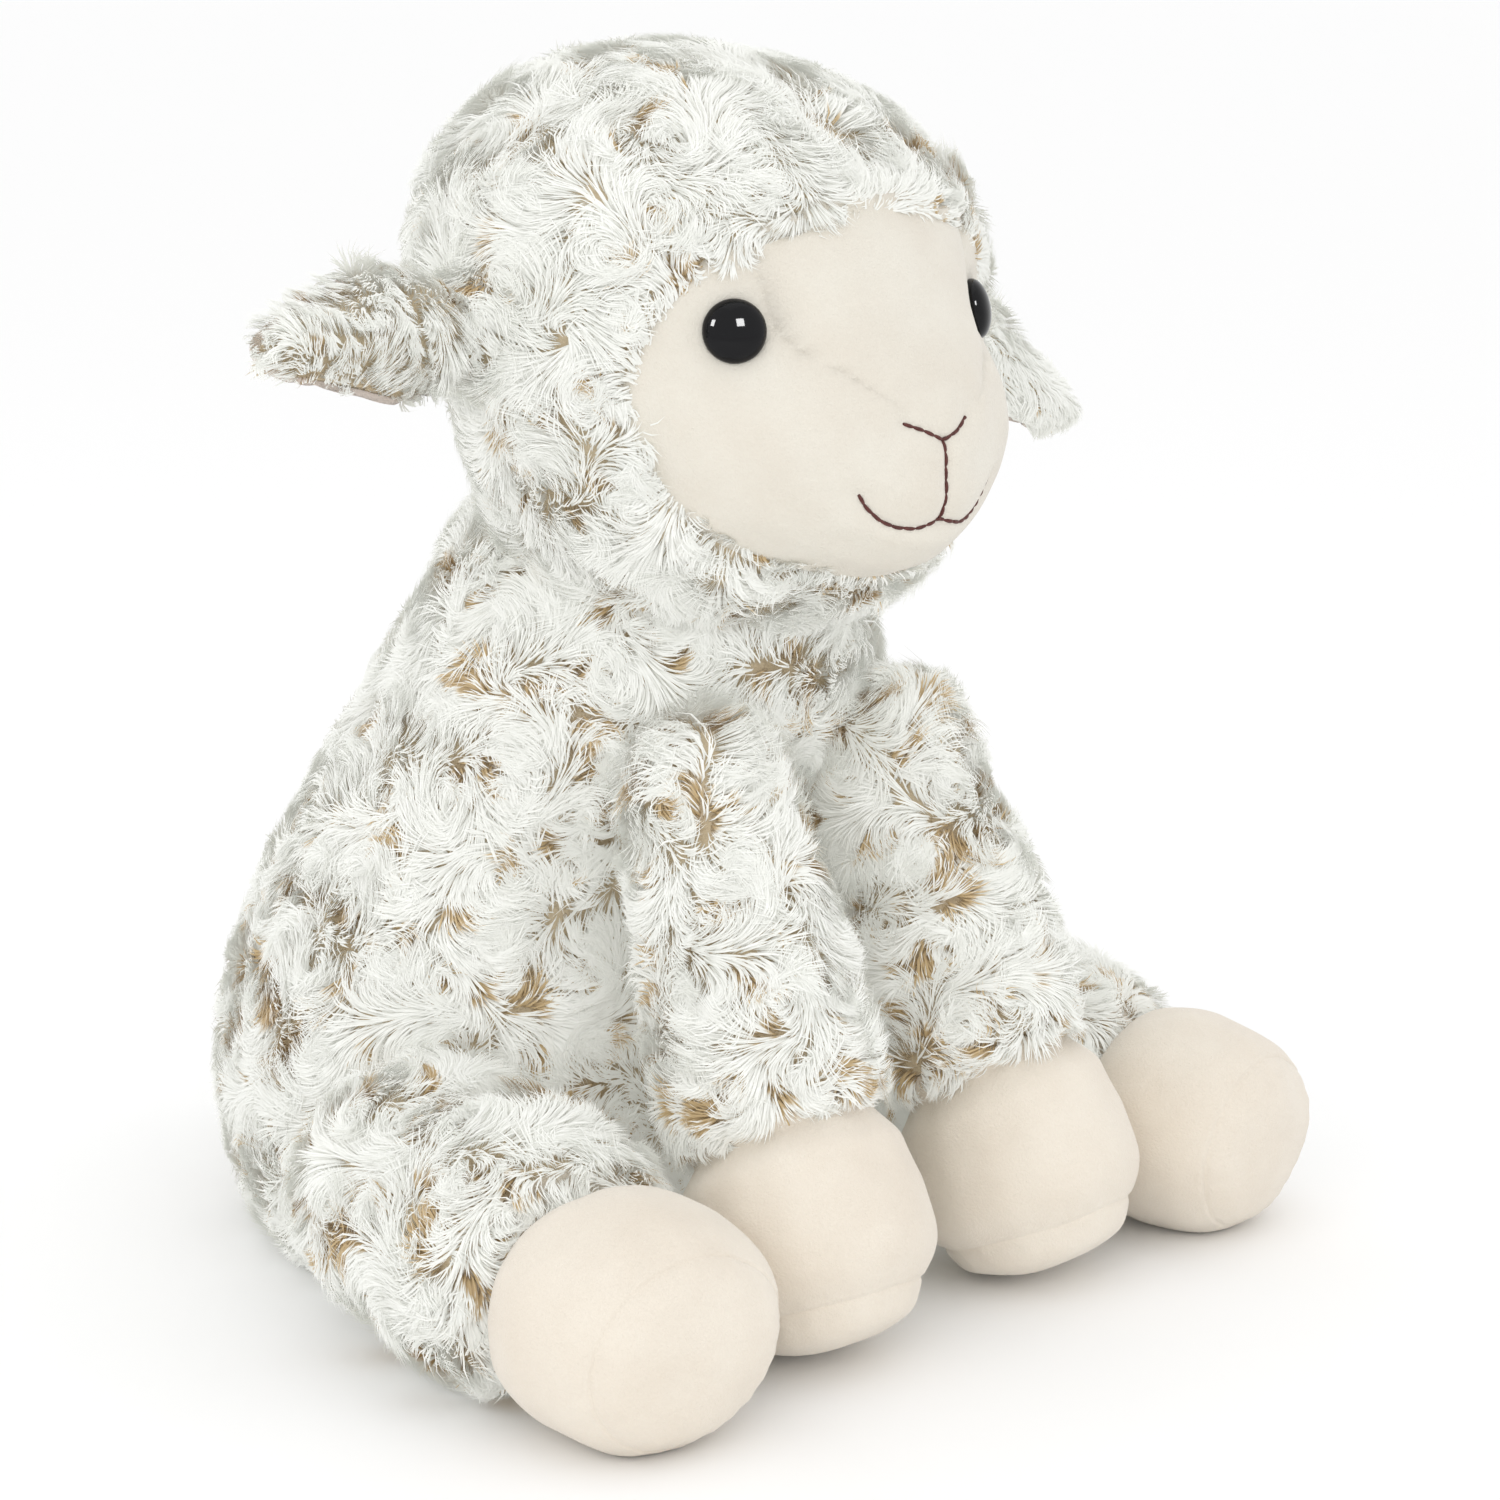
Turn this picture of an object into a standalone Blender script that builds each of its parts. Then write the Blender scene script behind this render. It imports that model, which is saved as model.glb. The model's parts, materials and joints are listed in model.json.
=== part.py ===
"""A sitting plush sheep, built the way such a toy is sewn.

The sheep faces -Y, sits on the plane z = 0, and its left side is +X.  The
origin lies under the middle of the seat.  A fur torso, a furred hood with a
short-pile face, two ears, four legs and a tail are separate stuffed bodies.
Each limb ends in a ball that sits in a round seat of the body that carries
it, and the head sits on a tilted neck seam, so everything that flops on the
real toy turns here without a clash.
"""
import math

import bmesh
import bpy
import numpy as np
from mathutils import Matrix, Vector

# Fabric and fit, in metres
GAP = 0.0003                  # between solids that touch
FUR = 0.0065                  # curly fur fabric with its pile
BACKING = 0.0020              # woven back of the hood's fur
VELBOA = 0.0018               # short-pile face and hoof fabric
OVERRUN = 0.012               # how far every cutter runs past what it cuts

# Torso, a pear that is flat below
TORSO_WIDTH = 0.196
TORSO_BACK = 0.109            # belly centre to the back
TORSO_FRONT = 0.060           # belly centre to the front of the belly
TORSO_HEIGHT = 0.206          # up to where the neck would end
NECK_FORWARD = 0.015          # the neck leans forward by this
TORSO_HEIGHT_SHARES = (0.0, 0.028, 0.10, 0.22, 0.35, 0.47, 0.57, 0.66, 0.76, 0.86, 1.0)
TORSO_WIDTH_SHARES = (0.86, 0.93, 0.965, 1.0, 0.955, 0.87, 0.77, 0.70, 0.60, 0.50, 0.43)
TORSO_BACK_SHARES = (0.86, 0.93, 0.965, 1.0, 0.955, 0.87, 0.76, 0.67, 0.573, 0.475, 0.39)
TORSO_FRONT_SHARES = (0.70, 0.775, 0.84, 0.87, 0.81, 0.75, 0.83, 0.965, 0.99, 0.93, 0.76)
TORSO_LEAN_SHARES = (0.0, 0.0, 0.0, 0.0, 0.02, 0.10, 0.24, 0.42, 0.64, 0.84, 1.0)

# Neck seam between torso and head
NECK_SEAM_FORWARD = 0.017
NECK_SEAM_HEIGHT = 0.1765
NECK_SEAM_TILT = 15.0         # degrees, lower in front

# Head: a skull, a full face and a neck stub, blended
HEAD_CORE_FORWARD = 0.038     # point that every head surface is measured from
HEAD_CORE_HEIGHT = 0.226
SKULL_FORWARD = 0.036
SKULL_CENTRE_HEIGHT = 0.2445
SKULL_WIDTH = 0.140
SKULL_LENGTH = 0.124
SKULL_TALL = 0.092
SKULL_TILT = 10.0             # degrees, crown leans back
CROWN_FORWARD = 0.009
CROWN_CENTRE_HEIGHT = 0.2610
CROWN_WIDTH = 0.094
CROWN_LENGTH = 0.076
CROWN_TALL = 0.064
FACE_FORWARD = 0.049
FACE_CENTRE_HEIGHT = 0.2160
FACE_WIDTH = 0.122
FACE_LENGTH = 0.120
FACE_TALL = 0.093
MUZZLE_SWELL = 0.0072         # how far the muzzle stands out of the face
MUZZLE_LIFT = -30.0           # degrees from level
MUZZLE_SPREAD = 16.5          # degrees, seen from the head core
NECK_STUB_RADIUS = 0.0385
HEAD_BLEND = 0.008            # softness where the forms meet

# Opening of the hood, seen from the head core
FACE_AXIS_DROP = 4.0          # degrees below level
OPENING_SIDE_ANGLE = 65.0
OPENING_TOP_ANGLE = 43.0
OPENING_LOW_ANGLE = 41.0
HOOD_LIP_SHARES = (0.20, 0.75, 1.0)  # pile height over the first rings

# Forehead gusset, from its tip at the nose up to the hood
GUSSET_RISE_ANGLES = (-11.0, -4.0, 1.0, 7.0, 11.0, 15.0, 23.0, 34.0, 46.0, 58.0)
GUSSET_TOP_WIDTH = 0.076
GUSSET_WIDTH_SHARES = (0.01, 0.30, 0.55, 0.74, 0.84, 0.90, 0.93, 0.97, 1.0, 1.0)
GUSSET_REACH_SHARES = (0.55, 1.45)  # cutter depth, of the face's reach

# Safety eyes and their washers
EYE_TURN = 44.0               # degrees to the side of the face
EYE_LIFT = 12.0
EYE_DIAMETER = 0.0148
EYE_DIMPLE = 0.0050           # how deep the eyes are drawn in
EYE_DIMPLE_SPREAD = 14.0      # degrees, seen from the head core
EYE_DOME = 0.0048
EYE_RIM = 0.0009              # thickness of the dome's edge
SHANK_DIAMETER = 0.0032
SHANK_LENGTH = 0.0105
WASHER_DIAMETER = 0.0130
WASHER_THICKNESS = 0.0012
WASHER_SEAT = 0.0008          # washer behind the fabric

# Ears: fur outside, velboa inside
EAR_TURN = 97.6               # degrees to the side, seen from the head core
EAR_LIFT = 10.3
EAR_INSET = 0.0015            # ball centre inside the head's fabric
EAR_BALL = 0.0155
EAR_LENGTH = 0.0765
EAR_WIDTH = 0.0410
EAR_FUR = 0.0085
EAR_LINING = 0.0018
EAR_CUP = 0.0055              # how deep the ear is cupped
EAR_SAG = 0.002               # how far the tip hangs below a straight ear
EAR_ROLL = 24.0               # degrees, upper edge leans back
EAR_SWEEP = -7.5              # degrees back, so the tips point a little forward
EAR_DROOP_RIGHT = -2.0        # degrees that the tip hangs below level
EAR_DROOP_LEFT = 27.0
EAR_LENGTH_SHARES = (0.05, 0.16, 0.30, 0.50, 0.72, 0.88, 0.97)
EAR_WIDTH_SHARES = (0.44, 0.42, 0.76, 1.0, 0.80, 0.52, 0.27)
EAR_FULL_SHARES = (1.0, 1.0, 1.0, 1.0, 0.92, 0.75, 0.5)
EAR_EDGE_SHARE = 0.25         # pile at the seam, of the pile at the middle
EAR_LINING_EDGE_SHARE = 0.35  # lining at the seam, of the lining at the middle
EAR_BARE_SHARE = 0.25         # root of the ear, of its length, that has no lining

# Front legs, hanging down and forward from the shoulders
SHOULDER_SIDE = 0.0340
SHOULDER_FORWARD = 0.0640
SHOULDER_HEIGHT = 0.1285
FRONT_TILT = 20.8             # degrees forward of straight down
FRONT_TOE_OUT = 2.6           # degrees
FRONT_BALL = 0.0213
FRONT_GIRTH = 0.0268          # largest sleeve radius
FRONT_SLEEVE = 0.0815         # joint to hem
FRONT_HOOF_RADIUS = 0.0295
FRONT_HOOF_LENGTH = 0.0405
FRONT_SOLE_RADIUS = 0.0255
FRONT_SOLE_CROWN = 0.0100
FRONT_HEM_SLANT = 9.0         # degrees, hem higher in front
FRONT_BREADTH_SHARE = 1.0     # width of the hoof, of its depth

# Hind legs, lying forward on the floor
HIP_SIDE = 0.0915
HIP_FORWARD = 0.030
HIP_HEIGHT = 0.0355
HIND_DROP = 6.5               # degrees below level
HIND_SPLAY = 8.0              # degrees outward
HIND_BALL = 0.0335
HIND_GIRTH = 0.0365
HIND_SLEEVE = 0.0570
HIND_HOOF_RADIUS = 0.0275
HIND_HOOF_LENGTH = 0.041
HIND_SOLE_RADIUS = 0.0258
HIND_SOLE_CROWN = 0.0065
HIND_HEM_SLANT = 0.0
HIND_BREADTH_SHARE = 1.08

# Run of every leg's outline
SLEEVE_RUN_SHARES = (0.12, 0.34, 0.62, 0.86, 0.96, 1.0)
FRONT_GIRTH_SHARES = (0.74, 0.86, 0.98, 1.0, 0.98, 0.93)
HIND_GIRTH_SHARES = (0.86, 0.92, 0.95, 0.88, 0.80, 0.72)
HOOF_RUN_SHARES = (0.0, 0.20, 0.48, 0.80, 1.0)
HOOF_SWELL_SHARES = (0.0, 0.76, 1.0, 0.82, 0.0)
SOLE_RUN_SHARES = (0.0, 0.55, 0.88)
SOLE_RADIUS_SHARES = (1.0, 0.78, 0.42)

# Tail
TAIL_INSET = 0.0020           # ball centre inside the torso's outline
TAIL_HEIGHT = 0.052
TAIL_BALL = 0.0085
TAIL_LENGTH = 0.038
TAIL_RADIUS = 0.0118
TAIL_DROP = 30.0              # degrees below level
TAIL_RUN_SHARES = (0.17, 0.42, 0.66, 0.86)
TAIL_RADIUS_SHARES = (0.42, 0.72, 1.0, 0.74)

# Pellet bag that keeps the seat down
BAG_RADIUS = 0.052
BAG_HEIGHT = 0.022
BAG_BACK = 0.022              # behind the origin
BAG_RISE_SHARES = (0.0, 0.20, 0.62, 0.92)
BAG_RADIUS_SHARES = (0.80, 1.0, 0.90, 0.50)

# Facets and shading
RING_SIDES = 16
TORSO_SIDES = 24
HEAD_SIDES = 24
SEAT_SIDES = 18
HOOD_RINGS = 9
FACE_RINGS = 6
INNER_ROWS = slice(1, None, 2)  # stations that the inside of a sleeve keeps
EAR_STEPS = 7                 # points across an ear
QUARTER_STEPS = 5             # points over a quarter of a ball
INNER_QUARTER_STEPS = 4
DOME_STEPS = 6
SHARP_ANGLE = 50.0            # degrees, creases past this stay sharp
NEAR_ZERO = 1e-9              # keeps divisions off zero


def clear_scene():
    for item in list(bpy.data.objects):
        bpy.data.objects.remove(item, do_unlink=True)


def material(name, colour, roughness, sheen=0.0):
    made = bpy.data.materials.new(name)
    made.use_nodes = True
    shader = made.node_tree.nodes["Principled BSDF"]
    shader.inputs["Base Color"].default_value = (*colour, 1.0)
    shader.inputs["Roughness"].default_value = roughness
    shader.inputs["Metallic"].default_value = 0.0
    shader.inputs["Sheen Weight"].default_value = sheen
    made.diffuse_color = (*colour, 1.0)
    return made


def forward_point(side, forward, height):
    """A point given by its place to the left, to the front and above."""
    return np.array([side, -forward, height])


def solid(name, rings, loop=False):
    """One closed surface over rings of points; a ring of one point is a pole."""
    points = np.concatenate(rings)
    starts = np.cumsum([0] + [len(ring) for ring in rings])
    pairs = [(i, i + 1) for i in range(len(rings) - 1)]
    if loop:
        pairs.append((len(rings) - 1, 0))
    faces = []
    for a, b in pairs:
        na, nb = len(rings[a]), len(rings[b])
        n = max(na, nb)
        for k in range(n):
            quad = [starts[a] + k % na, starts[a] + (k + 1) % na,
                    starts[b] + (k + 1) % nb, starts[b] + k % nb]
            faces.append(list(dict.fromkeys(int(v) for v in quad)))
    for end in () if loop else (0, len(rings) - 1):
        if len(rings[end]) > 2:
            faces.append([int(starts[end]) + k for k in range(len(rings[end]))])
    mesh = bpy.data.meshes.new(name)
    mesh.from_pydata([tuple(p) for p in points], [], faces)
    work = bmesh.new()
    work.from_mesh(mesh)
    bmesh.ops.triangulate(work, faces=work.faces)
    bmesh.ops.recalc_face_normals(work, faces=work.faces)
    if work.calc_volume(signed=True) < 0:
        bmesh.ops.reverse_faces(work, faces=work.faces)
    work.to_mesh(mesh)
    work.free()
    made = bpy.data.objects.new(name, mesh)
    bpy.context.collection.objects.link(made)
    return made


def turned(profile, frame, sides=RING_SIDES):
    """Rings of a profile of (radius, run) pairs turned round the frame's Z."""
    angles = np.linspace(0.0, 2 * math.pi, sides, endpoint=False)
    turn = np.array(frame.to_3x3())
    centre = np.array(frame.translation)
    rings = []
    for radius, run in profile:
        around = angles if radius > 0 else angles[:1]
        local = np.stack([radius * np.cos(around), radius * np.sin(around),
                          np.full(len(around), run)], axis=1)
        rings.append(local @ turn.T + centre)
    return rings


def frame_along(origin, direction):
    """A frame at a point whose Z runs along a direction and whose X is level."""
    z = Vector(direction).normalized()
    x = Vector((0.0, 0.0, 1.0)).cross(z)
    x = x.normalized() if x.length > 0 else Vector((1.0, 0.0, 0.0))
    y = z.cross(x)
    turn = Matrix((x, y, z)).transposed().to_4x4()
    return Matrix.Translation(Vector(origin)) @ turn


def combine(body, other, how):
    """Cut, join or intersect a solid with another, and keep the result."""
    step = body.modifiers.new("fit", "BOOLEAN")
    step.object = other
    step.operation = how
    step.solver = "EXACT"
    bpy.context.view_layer.update()
    graph = bpy.context.evaluated_depsgraph_get()
    result = bpy.data.meshes.new_from_object(body.evaluated_get(graph))
    body.modifiers.clear()
    old = body.data
    body.data = result
    bpy.data.meshes.remove(old)
    bpy.data.objects.remove(other, do_unlink=True)
    return body


def ball(name, centre, radius, outside=False):
    """A ball whose facets stay inside its radius, or outside it for a seat."""
    step = math.pi / SEAT_SIDES
    reach = radius / math.cos(step) ** 2 if outside else radius
    angles = np.linspace(0.0, math.pi, SEAT_SIDES // 2 + 1)
    profile = [(0.0, -reach)] + [(reach * math.sin(a), -reach * math.cos(a)) for a in angles[1:-1]]
    profile.append((0.0, reach))
    return solid(name, turned(profile, frame_along(centre, (0, 0, 1)), SEAT_SIDES))


def block(name, frame, width, depth, height):
    """A box standing on its frame's XY plane, reaching up its Z."""
    corners = np.array([(-1, -1), (1, -1), (1, 1), (-1, 1)]) * (width / 2, depth / 2)
    turn = np.array(frame.to_3x3())
    centre = np.array(frame.translation)
    rings = [np.c_[corners, np.full(4, z)] @ turn.T + centre for z in (0.0, height)]
    return solid(name, rings)


# Torso
def torso_rings(inset):
    """Rings of the torso's skin, moved inwards by a wall."""
    shares = np.array(TORSO_HEIGHT_SHARES)
    half = TORSO_WIDTH / 2 * np.array(TORSO_WIDTH_SHARES) - inset
    back = TORSO_BACK * np.array(TORSO_BACK_SHARES) - inset
    front = TORSO_FRONT * np.array(TORSO_FRONT_SHARES) - inset
    lean = NECK_FORWARD * np.array(TORSO_LEAN_SHARES)
    around = np.linspace(0.0, 2 * math.pi, TORSO_SIDES, endpoint=False)
    rings = []
    for k, share in enumerate(shares):
        z = inset + share * (TORSO_HEIGHT - inset)
        y = np.where(np.sin(around) > 0, back[k], front[k]) * np.sin(around) - lean[k]
        rings.append(np.stack([half[k] * np.cos(around), y, np.full(len(around), z)], axis=1))
    return rings


def neck_frame(offset):
    """Plane of the neck seam, moved along its own normal."""
    tilt = math.radians(NECK_SEAM_TILT)
    normal = forward_point(0.0, math.sin(tilt), math.cos(tilt))
    centre = forward_point(0.0, NECK_SEAM_FORWARD, NECK_SEAM_HEIGHT) + normal * offset
    return frame_along(centre, normal)


def limb_seats():
    """Centre and radius of each ball that sits in the torso."""
    seats = [(tail_root(), TAIL_BALL)]
    for side in (1, -1):
        seats.append((forward_point(side * SHOULDER_SIDE, SHOULDER_FORWARD, SHOULDER_HEIGHT), FRONT_BALL))
        seats.append((forward_point(side * HIP_SIDE, HIP_FORWARD, HIP_HEIGHT), HIND_BALL))
    return seats


def tail_root():
    """Centre of the tail's ball, just inside the torso's back."""
    share = np.interp(TAIL_HEIGHT / TORSO_HEIGHT, TORSO_HEIGHT_SHARES, TORSO_BACK_SHARES)
    back = TORSO_BACK * share
    return forward_point(0.0, TAIL_INSET - back, TAIL_HEIGHT)


def above_neck(offset):
    size = TORSO_WIDTH + OVERRUN
    return block("above_neck", neck_frame(offset), size, size, TORSO_HEIGHT)


def below_neck(offset):
    size = TORSO_WIDTH + OVERRUN
    frame = neck_frame(offset) @ Matrix.Translation((0, 0, -TORSO_HEIGHT))
    return block("below_neck", frame, size, size, TORSO_HEIGHT)


def make_torso():
    skin = solid("torso_fur", torso_rings(0.0) + torso_rings(FUR)[::-1])
    filling = solid("torso_filling", torso_rings(FUR + GAP))
    for piece in (skin, filling):
        combine(piece, above_neck(-GAP / 2), "DIFFERENCE")
        for centre, radius in limb_seats():
            combine(piece, ball("seat", centre, radius + GAP, outside=True), "DIFFERENCE")
    floor = FUR + GAP
    bag_frame = frame_along(forward_point(0.0, -BAG_BACK, floor + GAP), (0, 0, 1))
    bag = solid("seat_pellet_bag", turned(bag_outline(0.0), bag_frame))
    pocket_frame = frame_along(forward_point(0.0, -BAG_BACK, floor), (0, 0, 1))
    pocket = solid("bag_pocket", turned([(0.0, -OVERRUN), (BAG_RADIUS + GAP, -OVERRUN)]
                                        + bag_outline(GAP + GAP)[2:], pocket_frame))
    combine(filling, pocket, "DIFFERENCE")
    return skin, filling, bag


def bag_outline(ease):
    """Outline of the pellet bag, or of its pocket with some ease."""
    rows = [(BAG_RADIUS * r + ease, BAG_HEIGHT * z + ease)
            for r, z in zip(BAG_RADIUS_SHARES, BAG_RISE_SHARES)]
    return [(0.0, 0.0), (rows[0][0], 0.0)] + rows[1:] + [(0.0, BAG_HEIGHT + ease)]


# Head
HEAD_CORE = forward_point(0.0, HEAD_CORE_FORWARD, HEAD_CORE_HEIGHT)


def reach_to_ellipsoid(ways, centre, sizes, tilt=0.0):
    """Distance from the head core along each way to an ellipsoid round it."""
    turn = np.array(Matrix.Rotation(math.radians(-tilt), 3, "X"))
    half = np.array(sizes) / 2
    start = (HEAD_CORE - centre) @ turn.T / half
    step = ways @ turn.T / half
    a = (step ** 2).sum(1)
    b = (step * start).sum(1)
    c = (start ** 2).sum() - 1
    inside = b * b - a * c
    return np.where(inside > 0, (np.sqrt(np.maximum(inside, 0.0)) - b) / a, 0.0)


def reach_to_neck(ways):
    """Distance from the head core to a short stub round the neck axis."""
    frame = neck_frame(0.0).inverted()
    start = np.array(frame @ Vector(HEAD_CORE))
    step = ways @ np.array(frame.to_3x3()).T
    a = np.maximum((step[:, :2] ** 2).sum(1), NEAR_ZERO)
    b = (step[:, :2] * start[:2]).sum(1)
    c = (start[:2] ** 2).sum() - NECK_STUB_RADIUS ** 2
    side = (np.sqrt(np.maximum(b * b - a * c, 0.0)) - b) / a
    down = (start[2] + OVERRUN) / np.maximum(-step[:, 2], NEAR_ZERO)
    down = np.where(step[:, 2] < 0, down, 0.0)
    return np.minimum(side, down)


def soft_max(a, b):
    return (a + b + np.sqrt((a - b) ** 2 + HEAD_BLEND ** 2)) / 2


def head_reach(ways):
    """Reach of the head's fabric from the core: skull, face and neck in one."""
    skull = reach_to_ellipsoid(ways, forward_point(0.0, SKULL_FORWARD, SKULL_CENTRE_HEIGHT),
                               (SKULL_WIDTH, SKULL_LENGTH, SKULL_TALL), SKULL_TILT)
    face = reach_to_ellipsoid(ways, forward_point(0.0, FACE_FORWARD, FACE_CENTRE_HEIGHT),
                              (FACE_WIDTH, FACE_LENGTH, FACE_TALL))
    crown = reach_to_ellipsoid(ways, forward_point(0.0, CROWN_FORWARD, CROWN_CENTRE_HEIGHT),
                               (CROWN_WIDTH, CROWN_LENGTH, CROWN_TALL))
    whole = soft_max(soft_max(soft_max(skull, crown), face), reach_to_neck(ways))
    eyes = np.maximum(ways @ way(EYE_TURN, EYE_LIFT), ways @ way(-EYE_TURN, EYE_LIFT))
    dimple = EYE_DIMPLE * fade_out(eyes, EYE_DIMPLE_SPREAD)
    return whole - dimple + MUZZLE_SWELL * fade_out(ways @ way(0.0, MUZZLE_LIFT), MUZZLE_SPREAD)


def fade_out(cosine, spread):
    """1 straight ahead, falling off smoothly over an angle given by its cosine."""
    angle = np.degrees(np.arccos(np.clip(cosine, -1.0, 1.0)))
    return np.exp(-(angle / spread) ** 2)


def way(turn, lift):
    """Unit way from the core, turned to the left and lifted, in degrees."""
    turn, lift = np.radians(turn), np.radians(lift)
    level = np.cos(lift)
    return np.stack([np.sin(turn) * level, -np.cos(turn) * level, np.sin(lift) + 0 * turn], -1)


def ways_round_face(opening_shares):
    """Rings of ways, each at a share of the way out to the hood's opening.

    Shares up to 1 run from the face's axis to the opening, and from 1 to 2
    they run on from the opening to the back of the head.
    """
    around = np.linspace(0.0, 2 * math.pi, HEAD_SIDES, endpoint=False)
    upright = np.where(np.sin(around) > 0, OPENING_TOP_ANGLE, OPENING_LOW_ANGLE)
    edge = np.radians(1 / np.hypot(np.cos(around) / OPENING_SIDE_ANGLE, np.sin(around) / upright))
    drop = math.radians(FACE_AXIS_DROP)
    axis = forward_point(0.0, math.cos(drop), -math.sin(drop))
    up = forward_point(0.0, math.sin(drop), math.cos(drop))
    left = np.array([1.0, 0.0, 0.0])
    radial = np.cos(around)[:, None] * left + np.sin(around)[:, None] * up
    rings = []
    for share in opening_shares:
        open_angle = edge * share if share <= 1 else edge + (math.pi - edge) * (share - 1)
        ring = np.cos(open_angle)[:, None] * axis + np.sin(open_angle)[:, None] * radial
        rings.append(ring if 0 < share < 2 else ring[:1])
    return rings


def head_points(ways, offset):
    return HEAD_CORE + ways * (head_reach(ways) + offset)[:, None]


def make_hood():
    rings = ways_round_face(1 + np.linspace(0.0, 1.0, HOOD_RINGS))
    lips = list(HOOD_LIP_SHARES) + [1.0] * (len(rings) - len(HOOD_LIP_SHARES))
    outer = [head_points(ring, FUR * lip) for ring, lip in zip(rings, lips)]
    inner = [head_points(ring, -BACKING) for ring in rings]
    return solid("head_hood", outer[::-1] + inner)


def make_face():
    """Face fabric inside the opening, before its seams part it."""
    edge_share = 1 - GAP / (FACE_WIDTH / 2)
    rings = ways_round_face(np.linspace(0.0, edge_share, FACE_RINGS))
    outer = [head_points(ring, 0.0) for ring in rings]
    inner = [head_points(ring, -VELBOA) for ring in rings]
    return solid("face", outer + inner[::-1])


def gusset_cutter(ease):
    """Wedge that parts the forehead gusset from the cheeks, eased at its seams."""
    lifts = np.array(GUSSET_RISE_ANGLES)
    lifts[0] -= math.degrees(ease / (FACE_LENGTH / 2))
    ways = way(0 * lifts, lifts)
    reach = head_reach(ways)
    near, far = GUSSET_REACH_SHARES
    rings = []
    for k, share in enumerate(GUSSET_WIDTH_SHARES):
        half = np.array([GUSSET_TOP_WIDTH / 2 * share + ease, 0.0, 0.0])
        low = HEAD_CORE + ways[k] * reach[k] * near
        high = HEAD_CORE + ways[k] * reach[k] * far
        rings.append(np.array([low - half, low + half, high + half, high - half]))
    return solid("gusset_cutter", rings)


def make_face_panels():
    """The face parted into its gusset and its left cheek."""
    gusset = make_face()
    cheek = gusset.copy()
    cheek.data = gusset.data.copy()
    bpy.context.collection.objects.link(cheek)
    cheek.name = "cheek_left"
    gusset.name = "forehead_gusset"
    combine(gusset, gusset_cutter(-GAP / 2), "INTERSECT")
    combine(cheek, gusset_cutter(GAP / 2), "DIFFERENCE")
    size = FACE_LENGTH + TORSO_HEIGHT
    side = frame_along((GAP / 2 - size, 0.0, 0.0), (1, 0, 0))
    combine(cheek, block("right_half", side, size * 2, size * 2, size), "DIFFERENCE")
    return gusset, cheek


def eye_frame():
    """Seat of the left eye, level with the fabric round its rim and drawn in half way."""
    aim = way(np.array([EYE_TURN]), EYE_LIFT)
    spread = math.degrees(math.asin(EYE_DIAMETER / 2 / head_reach(aim)[0]))
    turns = EYE_TURN + spread * np.array([0, 1, -1, 0, 0])
    lifts = EYE_LIFT + spread * np.array([0, 0, 0, 1, -1])
    centre, left, right, top, low = head_points(way(turns, lifts), 0.0)
    normal = np.cross(left - right, top - low)
    if normal @ (centre - HEAD_CORE) < 0:
        normal = -normal
    rim = (left + right + top + low) / 4
    return frame_along((centre + rim) / 2, normal)


def make_eye():
    frame = eye_frame()
    radius = EYE_DIAMETER / 2
    shank = SHANK_DIAMETER / 2
    dome = [(radius * math.cos(a), EYE_RIM + GAP + (EYE_DOME - EYE_RIM) * math.sin(a))
            for a in np.linspace(0.0, math.pi / 2, DOME_STEPS)[:-1]]
    profile = ([(0.0, -SHANK_LENGTH), (shank, -SHANK_LENGTH), (shank, GAP), (radius, GAP)]
               + dome + [(0.0, EYE_DOME + GAP)])
    eye = solid("eye_left", turned(profile, frame))
    top = -VELBOA - WASHER_SEAT
    inner = shank + GAP
    outer = WASHER_DIAMETER / 2
    low = top - WASHER_THICKNESS
    outline = [(inner, top), (outer, top), (outer, low), (inner, low)]
    washer = solid("eye_washer_left", turned(outline, frame), loop=True)
    return eye, washer


def eye_hole():
    """Round cutter through the fabric for an eye's shank."""
    radius = SHANK_DIAMETER / 2 + GAP
    profile = [(0.0, -SHANK_LENGTH), (radius, -SHANK_LENGTH), (radius, OVERRUN), (0.0, OVERRUN)]
    return solid("eye_hole", turned(profile, eye_frame()))


def eye_seat():
    """Flat round seat that the eye's rim presses into the face's fabric."""
    radius = EYE_DIAMETER / 2 + GAP
    profile = [(0.0, 0.0), (radius, 0.0), (radius, OVERRUN), (0.0, OVERRUN)]
    return solid("eye_seat", turned(profile, eye_frame()))


def eye_socket():
    """Stepped cutter that clears the shank and washer in the filling."""
    shank = SHANK_DIAMETER / 2 + GAP
    washer = WASHER_DIAMETER / 2 + GAP
    step = -(VELBOA + WASHER_SEAT + WASHER_THICKNESS + GAP)
    end = -(SHANK_LENGTH + GAP)
    profile = [(0.0, end), (shank, end), (shank, step), (washer, step),
               (washer, OVERRUN), (0.0, OVERRUN)]
    return solid("eye_socket", turned(profile, eye_frame()))


def ear_centre(side):
    return head_points(way(np.array([side * EAR_TURN]), EAR_LIFT), -EAR_INSET)[0]


def make_head_filling():
    rings = ways_round_face(np.concatenate([np.linspace(0.0, 1.0, FACE_RINGS)[:-1],
                                            1 + np.linspace(0.0, 1.0, HOOD_RINGS)]))
    return solid("head_filling", [head_points(ring, -BACKING - GAP) for ring in rings])


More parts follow.
